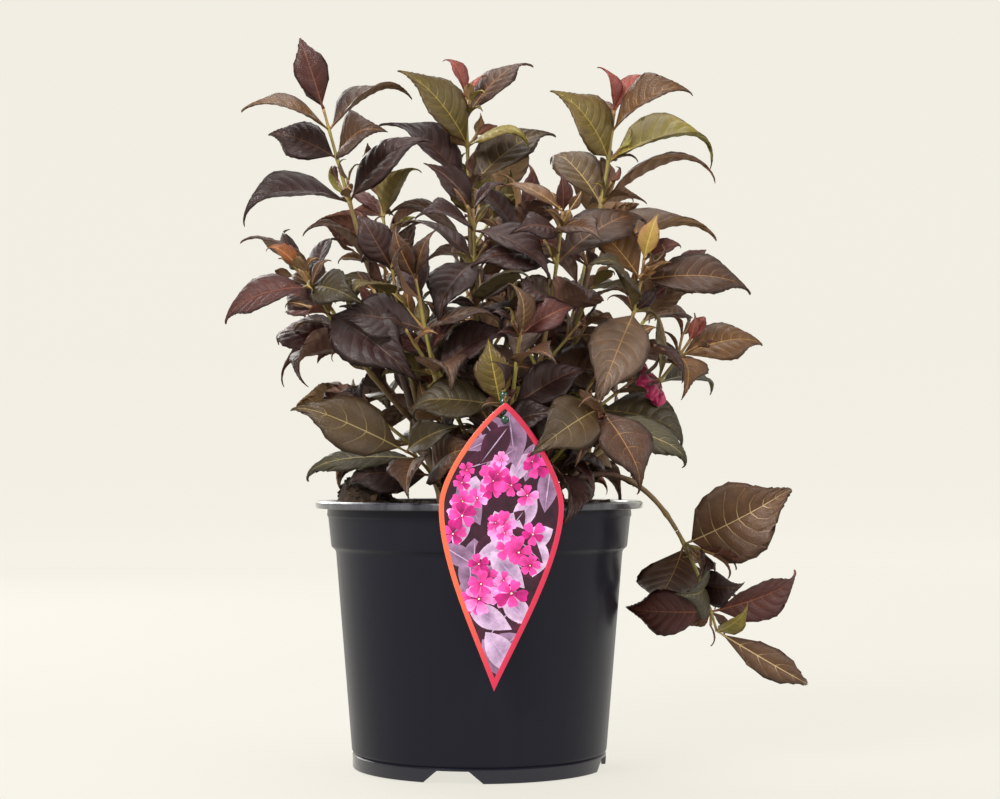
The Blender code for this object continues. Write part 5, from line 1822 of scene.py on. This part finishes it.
def fan_plate(heap, centre, outline, front, mark, outer=1.0):
    """A closed plate whose ink runs from its centre to its edge."""
    size = len(outline)
    low = LABEL_THICKNESS / 2 - PLATE_FOOT
    points = [label_place(centre.x, centre.y, -front)]
    points += [label_place(p.x, p.y, -level) for level in (front, low) for p in outline]
    points.append(label_place(centre.x, centre.y, -low))
    faces = []
    for i in range(1, size + 1):
        after = i % size + 1
        faces += [[0, i, after], [after, i, size + i, size + after],
                  [2 * size + 1, size + after, size + i]]
    area = sum(a.x * b.y - b.x * a.y for a, b in zip(outline, outline[1:] + outline[:1]))
    if area < 0:
        faces = [face[::-1] for face in faces]
    heap.add(points, faces, mark, ink_share=[0.0] + [outer] * size * 2 + [0.0])


def kept_on_card(centre, outline):
    """An outline, each point drawn in towards the centre until it lies under the border's middle."""
    kept = []
    for point in outline:
        places = [centre.lerp(point, share) for share in np.linspace(1.0, 0.1, KEPT_STEPS).tolist()]
        inside = [p for p in places if abs(p.x) < half_width(p.y, LABEL_BORDER * KEPT_UNDER)]
        kept.append((inside or places)[0 if inside else -1])
    return kept


def petal_outline(centre, radius, angle):
    """A broad petal with a shallow notch at its end."""
    way = Vector((math.cos(angle), math.sin(angle)))
    beside = Vector((-way.y, way.x))
    stations = PETAL_HALF + (PETAL_NOTCH,) + tuple((along, -half) for along, half in PETAL_HALF[::-1])
    return kept_on_card(centre, [centre + radius * (way * along + beside * half)
                                 for along, half in stations])


def leaf_outline(middle, length, breadth, turn):
    """A simple pointed leaf about its middle."""
    way = Vector((math.sin(turn), math.cos(turn)))
    beside = Vector((way.y, -way.x))
    foot = middle - way * length * PRINT_LEAF_FOOT
    stations = [step / PRINT_LEAF_STEPS for step in range(1, PRINT_LEAF_STEPS)]
    halves = [breadth / 2 * math.sin(math.pi * share ** PRINT_LEAF_FULLNESS) for share in stations]
    right, left = [[foot + way * length * share + sign * beside * half
                    for share, half in zip(stations, halves)] for sign in (1, -1)]
    return kept_on_card(middle, [foot] + right + [foot + way * length] + left[::-1])


def strewn_place(chance, run):
    """A place on the card, nearer its middle line than its edge."""
    down = chance.uniform(*run)
    return Vector((chance.uniform(-1, 1) * half_width(down, PRINT_MARGIN), down))


def round_outline(centre, radii):
    """A round or starred outline about a centre."""
    turn = 2 * math.pi / len(radii)
    return [centre + Vector((math.cos(turn * i), math.sin(turn * i))) * radius
            for i, radius in enumerate(radii)]


def print_picture(heap, marks):
    """A plain spray of five-petalled flowers and leaves, each thing a hair above the last."""
    levels = itertools.count(LABEL_THICKNESS / 2 + PRINT_RISE + PRINT_STEP, PRINT_STEP)
    chance = random.Random(PRINT_SEED)
    for _ in range(PRINT_LEAF_COUNT):
        middle = strewn_place(chance, PRINT_LEAF_RUN)
        turn, length = chance.uniform(*PRINT_LEAF_TURN), chance.uniform(*PRINT_LEAF_LENGTH)
        breadth = length * chance.uniform(*PRINT_LEAF_SLIMNESS)
        blade = leaf_outline(middle, length, breadth, turn)
        fan_plate(heap, middle, blade, next(levels), marks[chance.choice(PRINT_LEAF_INKS)])
        midrib = leaf_outline(middle, length * PRINT_MIDRIB_SHARE, PRINT_MIDRIB, turn)
        fan_plate(heap, middle, midrib, next(levels), marks["ink_lilac"])
    for _ in range(PRINT_FLOWER_COUNT):
        centre, radius = strewn_place(chance, PRINT_FLOWER_RUN), chance.uniform(*PRINT_FLOWER_RADIUS)
        turn, inks = chance.uniform(0, 360), chance.choice(PRINT_PETAL_INKS)
        level = next(levels)
        for petal in range(5):
            angle = math.radians(turn + 72 * petal + chance.uniform(*PRINT_PETAL_SWAY))
            outline = petal_outline(centre, radius * chance.uniform(*PRINT_PETAL_REACH), angle)
            fan_plate(heap, centre, outline, level, marks[inks[petal % 2]])
        throat = round_outline(centre, [radius * share for share in PRINT_THROAT * 5])
        fan_plate(heap, centre, throat, next(levels), marks["ink_magenta"], 0.6)
        eye = round_outline(centre, [radius * PRINT_EYE] * 8)
        fan_plate(heap, centre, eye, next(levels), marks["ink_cream"])


def holed_plate(heap, inset, back, front, mark, share=0.0):
    """A closed plate in the label's outline, drawn in by an inset, with the round hole of the tie in it."""
    middle = Vector((0, LABEL_HOLE_DROP))
    outline = full_outline(inset)
    size = len(outline)
    hole = [middle + (point - middle).normalized() * LABEL_HOLE_RADIUS for point in outline]
    points = [label_place(p.x, p.y, -height) for height in (front, back) for p in outline + hole]
    faces = []
    for i in range(size):
        after = (i + 1) % size
        faces += [[i, size + i, size + after, after],
                  [2 * size + after, 3 * size + after, 3 * size + i, 2 * size + i],
                  [i, after, 2 * size + after, 2 * size + i],
                  [size + after, size + i, 3 * size + i, 3 * size + after]]
    heap.add(points, faces, mark, ink_share=[share] * len(points))


def make_label_piece():
    """The printed card: a thin plate, a raised border all round, and its picture."""
    heap = Heap()
    finishes = ["label_back"] + [name for name, _, _ in LABEL_INKS]
    marks = {name: index for index, name in enumerate(finishes)}
    half = LABEL_THICKNESS / 2
    holed_plate(heap, LABEL_EDGE, -half, half, marks["label_back"])
    holed_plate(heap, LABEL_BORDER * 0.8, half - PLATE_FOOT, half + PRINT_RISE / 2,
                marks["ink_plum"], PRINT_GROUND_SHARE)
    print_picture(heap, marks)
    return heap.build("label_card", finishes, smooth=False), border_ring()


def border_ring():
    """The border as a closed ring with a slightly rounded section."""
    section = ((0.0, -0.1), (0.0, 0.6), (BORDER_SHOULDER, 1.0), (LABEL_BORDER - BORDER_SHOULDER, 1.0),
               (LABEL_BORDER, 0.6), (LABEL_BORDER, -0.1))
    loops = [resampled(full_outline(max(inset, LABEL_EDGE)), BORDER_STEPS) for inset, _ in section]
    points = [label_place(loop[index].x, loop[index].y, -LABEL_THICKNESS / 2 - BORDER_RISE * rise)
              for index in range(BORDER_STEPS) for loop, (_, rise) in zip(loops, section)]
    faces = band_faces(BORDER_STEPS, len(section), loop=True)
    return plain_piece("label_border", points, faces, "label_border", BORDER_SHARP_FROM)


def resampled(outline, count):
    """Points round a closed outline at the same shares of its length, starting at the apex."""
    corners = outline + outline[:1]
    lengths = [0.0]
    for a, b in zip(corners, corners[1:]):
        lengths.append(lengths[-1] + (b - a).length)
    at = np.linspace(0, lengths[-1], count, endpoint=False)
    xs = np.interp(at, lengths, [p.x for p in corners])
    ys = np.interp(at, lengths, [p.y for p in corners])
    return [Vector((x, y)) for x, y in zip(xs, ys)]


def make_border_beads():
    """A fine row of beads embossed round the label's border, at even spaces along a path."""
    loop = resampled(full_outline(LABEL_BORDER / 2), BEAD_PATH_STEPS)
    mesh = bpy.data.meshes.new("border_beads")
    corners = [label_place(p.x, p.y, -LABEL_THICKNESS / 2 - BEAD_LEVEL) for p in loop]
    mesh.from_pydata(corners, [(i, (i + 1) % len(corners)) for i in range(len(corners))], [])
    nodes = PieceNodes("border_beads_nodes", (
        ("Path", "NodeSocketGeometry", None),
        ("Spacing", "NodeSocketFloat", 2.0 * MM),
        ("Radius", "NodeSocketFloat", 0.2 * MM),
    ))
    curve = nodes.add("GeometryNodeMeshToCurve", {}, {"Mesh": nodes.given["Path"]})
    spaced = nodes.add("GeometryNodeCurveToPoints", {"mode": "LENGTH"}, {
        "Curve": curve, "Length": nodes.given["Spacing"]}, "Points")
    bead = nodes.add("GeometryNodeMeshIcoSphere", {}, {
        "Radius": nodes.given["Radius"], "Subdivisions": 2}, "Mesh")
    placed = nodes.add("GeometryNodeInstanceOnPoints", {}, {"Points": spaced, "Instance": bead})
    piece = nodes.work_on(put_in_scene("border_beads", mesh), placed, "label_border", {
        "Spacing": BEAD_SPACING * MM, "Radius": BEAD_RADIUS * MM})
    piece.data.shade_smooth()
    return piece


# The tie as it is seen: its loop's steps, and the profiles of the knob at its front, of the ribbed cap
# above the label and of the stub behind it, each a run of places along it and radii, in millimetres
TIE_SEEN_STEPS = 64
TIE_SEEN_SIDES = 14
TIE_KNOB_DROP = 0.4
TIE_CAP = (-1.0, 3.5, -2.0)
TIE_STUB = (0.0, 2.0, -7.0)
KNOB_SIDES = 18
KNOB_FIRST = Vector((1.0, 0.2, 0.1))
KNOB_PROFILE = ((-0.9, 0.5), (-0.8, 1.7), (-0.2, 2.2), (0.5, 2.1), (1.1, 1.4), (1.3, 0.3))
CAP_PROFILE = ((0.0, 1.4), (1.5, 2.3), (3.0, 2.5), (3.4, 1.9), (4.6, 2.0), (5.0, 2.4), (7.0, 2.2),
               (7.8, 1.4), (8.0, 0.3))
STUB_PROFILE = ((0.0, 0.7), (4.0, 1.0), (7.6, 1.3), (8.2, 0.4))


def make_tie_piece():
    """A thin plastic loop with a knob at the front and a ribbed cap above the label."""
    heap = Heap()
    hole = label_place(0, LABEL_HOLE_DROP)
    middle = hole + Vector((0, (TIE_BACK - TIE_FRONT) / 2, 0)) * MM
    path = []
    for step in range(TIE_SEEN_STEPS):
        angle = 2 * math.pi * step / TIE_SEEN_STEPS
        width = TIE_HALF_WIDTH * MM * (1 - TIE_NARROWING * math.cos(angle))
        forward = (TIE_BACK + TIE_FRONT) / 2 * MM * math.cos(angle)
        path.append(middle + Vector((width * math.sin(angle), -forward, -TIE_FALL * forward)))
    points = []
    for index, point in enumerate(path):
        way = (path[(index + 1) % TIE_SEEN_STEPS] - path[index - 1]).normalized()
        points += ring_about(point, way, TIE_RADIUS * MM, TIE_SEEN_SIDES, UP)
    heap.add(points, band_faces(TIE_SEEN_STEPS, TIE_SEEN_SIDES, loop=True), 0)
    cap = (Vector((LABEL_APEX[0], LABEL_Y, LABEL_APEX[1])) + Vector(TIE_CAP)) * MM
    add_knob(heap, hole - Vector((0, TIE_FRONT, TIE_KNOB_DROP)) * MM, VIEWER, KNOB_PROFILE)
    add_knob(heap, cap, UP, CAP_PROFILE)
    add_knob(heap, cap + Vector(TIE_STUB) * MM, UP, STUB_PROFILE)
    return heap.build("label_tie_piece", ["tie_plastic"])


def add_knob(heap, foot, way, profile):
    """A small turned knob that stands along a direction."""
    points = []
    for along, radius in profile:
        points += ring_about(foot + way * along * MM, way, radius * MM, KNOB_SIDES, KNOB_FIRST)
    heap.add(points, ring_faces(len(profile), KNOB_SIDES), 0)


# The stage in metres: rings of the floor and the wall that it sweeps up into, the camera and the lamps
STAGE_PROFILE = ((2.6, 0), (3.1, 0.03), (3.5, 0.16), (3.8, 0.42), (3.95, 0.8), (4.0, 1.3), (4.0, 4.2))
STAGE_SEGMENTS = 72
STAGE_DROP = 0.0005
CAMERA_PLACE = (0.012, -1.2, 0.1744)
CAMERA_LENS = 74.27
CAMERA_SHIFT = 0.0655
CAMERA_SENSOR = 36.0
CAMERA_SIGHT = 30.0
LAMP_TARGET = (0.0, 0.0, 0.2)
WORLD_COLOUR = (1.0, 0.985, 0.95, 1.0)
LAMPS = (
    ("key", (-1.15, -1.5, 1.7), 1.0, 72.0, (1.0, 0.985, 0.96)),
    ("fill", (1.8, -1.2, 0.8), 1.3, 23.0, (0.97, 0.985, 1.0)),
    ("top", (0.1, 0.3, 2.0), 1.5, 30.0, (1.0, 0.99, 0.97)),
    ("back", (-0.9, 1.6, 1.1), 1.2, 20.0, (1.0, 0.99, 0.97)),
)
STAGE_GLOW = 0.948
FLOOR_GLOW_SHARE = 0.885
GLOW_NEAR = 0.5
GLOW_SPAN = 2.4
STAGE_PALENESS = 0.045


def make_stage_pieces(settings):
    """The pale floor with its swept-up wall, the lamps and the camera."""
    colour = tuple(settings.floor_colour)
    finish = Finish("stage_paint", tuple(STAGE_PALENESS * channel for channel in colour) + (1.0,), 0.9,
                    Emission_Strength=STAGE_GLOW)
    reach = finish.node("ShaderNodeVectorMath", {"operation": "LENGTH"}, {0: finish.place()}, "Value")
    low = tuple(FLOOR_GLOW_SHARE * channel for channel in colour) + (1.0,)
    far = ((reach - GLOW_NEAR) / GLOW_SPAN).within()
    finish.feed("Emission Color", finish.mix(far, low, colour + (1.0,)))
    soft = finish.noise(finish.place(), 1.2)
    finish.feed("Roughness", 0.86 + soft * 0.1)
    vertices = []
    for radius, height in STAGE_PROFILE:
        for step in range(STAGE_SEGMENTS):
            angle = 2 * math.pi * step / STAGE_SEGMENTS
            vertices.append((radius * math.cos(angle), radius * math.sin(angle), height - STAGE_DROP))
    wall = band_faces(len(STAGE_PROFILE), STAGE_SEGMENTS)
    mesh = bpy.data.meshes.new("stage_floor")
    mesh.from_pydata(vertices, [], [list(range(STAGE_SEGMENTS))] + [face[::-1] for face in wall])
    mesh.shade_smooth()
    mesh.materials.append(finish.material)
    put_in_scene("stage_floor", mesh)
    for name, place, size, power, tone in LAMPS:
        data = bpy.data.lights.new(name, "AREA")
        data.shape = "DISK"
        data.size = size
        data.energy = power * settings.light
        data.color = tone
        lamp = put_in_scene(name, data)
        lamp.location = place
        lamp.rotation_euler = (Vector(LAMP_TARGET) - lamp.location).to_track_quat("-Z", "Y").to_euler()
    world = bpy.data.worlds.new("studio")
    world.use_nodes = True
    shade = world.node_tree.nodes["Background"]
    shade.inputs["Color"].default_value = WORLD_COLOUR
    shade.inputs["Strength"].default_value = settings.ambient
    bpy.context.scene.world = world
    data = bpy.data.cameras.new("camera")
    data.lens = CAMERA_LENS
    data.sensor_width = CAMERA_SENSOR
    data.shift_y = CAMERA_SHIFT
    data.clip_end = CAMERA_SIGHT
    camera = put_in_scene("camera", data)
    camera.location = CAMERA_PLACE
    camera.rotation_euler = (math.pi / 2, 0.0, 0.0)
    bpy.context.scene.camera = camera
    bpy.context.scene.view_settings.view_transform = "Standard"


def place_on_plant(piece, slot, *nodes):
    """Gives a finished piece its body and hides the imported nodes it stands for; its slot is not used."""
    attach(piece, BODY)
    if nodes:
        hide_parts(*nodes)


class WeigelaPotSettings(bpy.types.PropertyGroup):
    """The pot and its filling."""

    pot_colour: FloatVectorProperty(
        name="Pot colour", description="Colour of the pot's plastic", subtype="COLOR", size=3,
        min=0.0, max=1.0, default=(0.0068, 0.0066, 0.0118))
    compost_colour: FloatVectorProperty(
        name="Compost colour", description="Colour of the damp compost", subtype="COLOR", size=3,
        min=0.0, max=1.0, default=(0.03, 0.018, 0.011))
    chip_colour: FloatVectorProperty(
        name="Bark chip colour", description="Colour of the bark chips on the compost",
        subtype="COLOR", size=3, min=0.0, max=1.0, default=(0.075, 0.042, 0.022))
    crumbs: FloatProperty(
        name="Crumbs", description="Crumbs of compost on each square metre", default=120000.0, min=0.0)
    crumb_size: FloatProperty(
        name="Crumb size", description="Size of the largest crumb", default=4.2 * MM, min=0.0,
        unit="LENGTH")
    chips: FloatProperty(
        name="Bark chips", description="Bark chips on each square metre", default=5200.0, min=0.0)
    chip_size: FloatProperty(
        name="Bark chip size", description="Size of the largest bark chip", default=10.0 * MM, min=0.0,
        unit="LENGTH")
    seed: IntProperty(name="Seed", description="Seed of the crumbs' places", default=4)


class WeigelaStageSettings(bpy.types.PropertyGroup):
    """The studio."""

    floor_colour: FloatVectorProperty(
        name="Floor colour", description="Colour of the floor and its wall", subtype="COLOR", size=3,
        min=0.0, max=1.0, default=(0.88, 0.85, 0.765))
    light: FloatProperty(
        name="Light", description="Strength of the lamps", default=1.0, min=0.0)
    ambient: FloatProperty(
        name="Ambient light", description="Strength of the light from all sides", default=0.08, min=0.0)


class WEIGELA_OT_pot(bpy.types.Operator):
    """Make the nursery pot"""

    bl_idname = "weigela.pot"
    bl_label = "Pot"

    def execute(self, context):
        make_pot_finish(tuple(context.scene.weigela_pot.pot_colour) + (1.0,))
        place_on_plant(make_pot_piece(), "black_plastic", "pot")
        return {"FINISHED"}


class WEIGELA_OT_compost(bpy.types.Operator):
    """Make the compost with its crumbs and bark chips"""

    bl_idname = "weigela.compost"
    bl_label = "Compost"

    def execute(self, context):
        own = context.scene.weigela_pot
        make_compost_finishes(tuple(own.compost_colour) + (1.0,), tuple(own.chip_colour) + (1.0,))
        soil = make_soil_piece()
        crumbs = scatter("compost_crumbs", soil, "compost_crumb", {
            "Lumps per square metre": own.crumbs, "Least size": 0.25 * own.crumb_size,
            "Largest size": own.crumb_size, "Flatness": 0.85, "Seed": own.seed})
        chips = scatter("bark_chips", soil, "bark_chip", {
            "Lumps per square metre": own.chips, "Least size": 0.4 * own.chip_size,
            "Largest size": own.chip_size, "Flatness": 0.4, "Seed": own.seed + 1})
        for piece in (soil, crumbs, chips):
            place_on_plant(piece, "compost", "compost")
        return {"FINISHED"}


class WEIGELA_OT_label(bpy.types.Operator):
    """Make the hanging label and its tie"""

    bl_idname = "weigela.label"
    bl_label = "Label"

    def execute(self, context):
        make_label_finishes()
        make_tie_finish()
        for piece in (*make_label_piece(), make_border_beads()):
            place_on_plant(piece, "label_card", "label")
        place_on_plant(make_tie_piece(), "green_plastic", "label_tie")
        return {"FINISHED"}


class WEIGELA_OT_stems(bpy.types.Operator):
    """Grow the boughs and twigs"""

    bl_idname = "weigela.stems"
    bl_label = "Boughs and twigs"

    def execute(self, context):
        make_stem_finish()
        place_on_plant(make_boughs(), "bark", *("bough_" + limb.name for limb in LIMBS))
        place_on_plant(make_twigs(), "bark", *("foliage_" + limb.name for limb in LIMBS))
        return {"FINISHED"}


class WEIGELA_OT_leaves(bpy.types.Operator):
    """Grow the leaves"""

    bl_idname = "weigela.leaves"
    bl_label = "Leaves"

    def execute(self, context):
        make_leaf_finishes()
        for name, limbs in REGIONS.items():
            place_on_plant(make_leaf_piece(name, limbs), "leaves", *("foliage_" + limb for limb in limbs))
        return {"FINISHED"}


class WEIGELA_OT_buds(bpy.types.Operator):
    """Make the wilting flower buds"""

    bl_idname = "weigela.buds"
    bl_label = "Flower buds"

    def execute(self, context):
        make_bud_finishes()
        place_on_plant(make_buds(), "leaves", "foliage_" + BUD_LIMB)
        return {"FINISHED"}


class WEIGELA_OT_stage(bpy.types.Operator):
    """Set up the floor, the lamps and the camera"""

    bl_idname = "weigela.stage"
    bl_label = "Studio"

    def execute(self, context):
        make_stage_pieces(context.scene.weigela_stage)
        return {"FINISHED"}


OPERATORS = (WEIGELA_OT_stage, WEIGELA_OT_pot, WEIGELA_OT_compost, WEIGELA_OT_label, WEIGELA_OT_stems,
             WEIGELA_OT_leaves, WEIGELA_OT_buds)


class WEIGELA_PT_sidebar(bpy.types.Panel):
    """The weigela's pieces and settings"""

    bl_idname = "WEIGELA_PT_sidebar"
    bl_label = "Potted weigela"
    bl_space_type = "VIEW_3D"
    bl_region_type = "UI"
    bl_category = "Weigela"

    def draw(self, context):
        for settings in (context.scene.weigela_pot, context.scene.weigela_stage):
            column = self.layout.column()
            for key in settings.__annotations__:
                column.prop(settings, key)
        for operator in OPERATORS:
            self.layout.operator(operator.bl_idname)


CLASSES = (WeigelaPotSettings, WeigelaStageSettings, *OPERATORS, WEIGELA_PT_sidebar)


def register():
    """Registers the classes and the settings."""
    for item in CLASSES:
        bpy.utils.register_class(item)
    bpy.types.Scene.weigela_pot = PointerProperty(type=WeigelaPotSettings)
    bpy.types.Scene.weigela_stage = PointerProperty(type=WeigelaStageSettings)


def unregister():
    """Takes the settings and the classes away again."""
    del bpy.types.Scene.weigela_stage
    del bpy.types.Scene.weigela_pot
    for item in reversed(CLASSES):
        bpy.utils.unregister_class(item)


def main():
    """Makes all the pieces in order."""
    register()
    bpy.ops.weigela.stage()
    bpy.ops.weigela.pot()
    bpy.ops.weigela.compost()
    bpy.ops.weigela.label()
    bpy.ops.weigela.stems()
    bpy.ops.weigela.leaves()
    bpy.ops.weigela.buds()


if __name__ == "__main__":
    main()
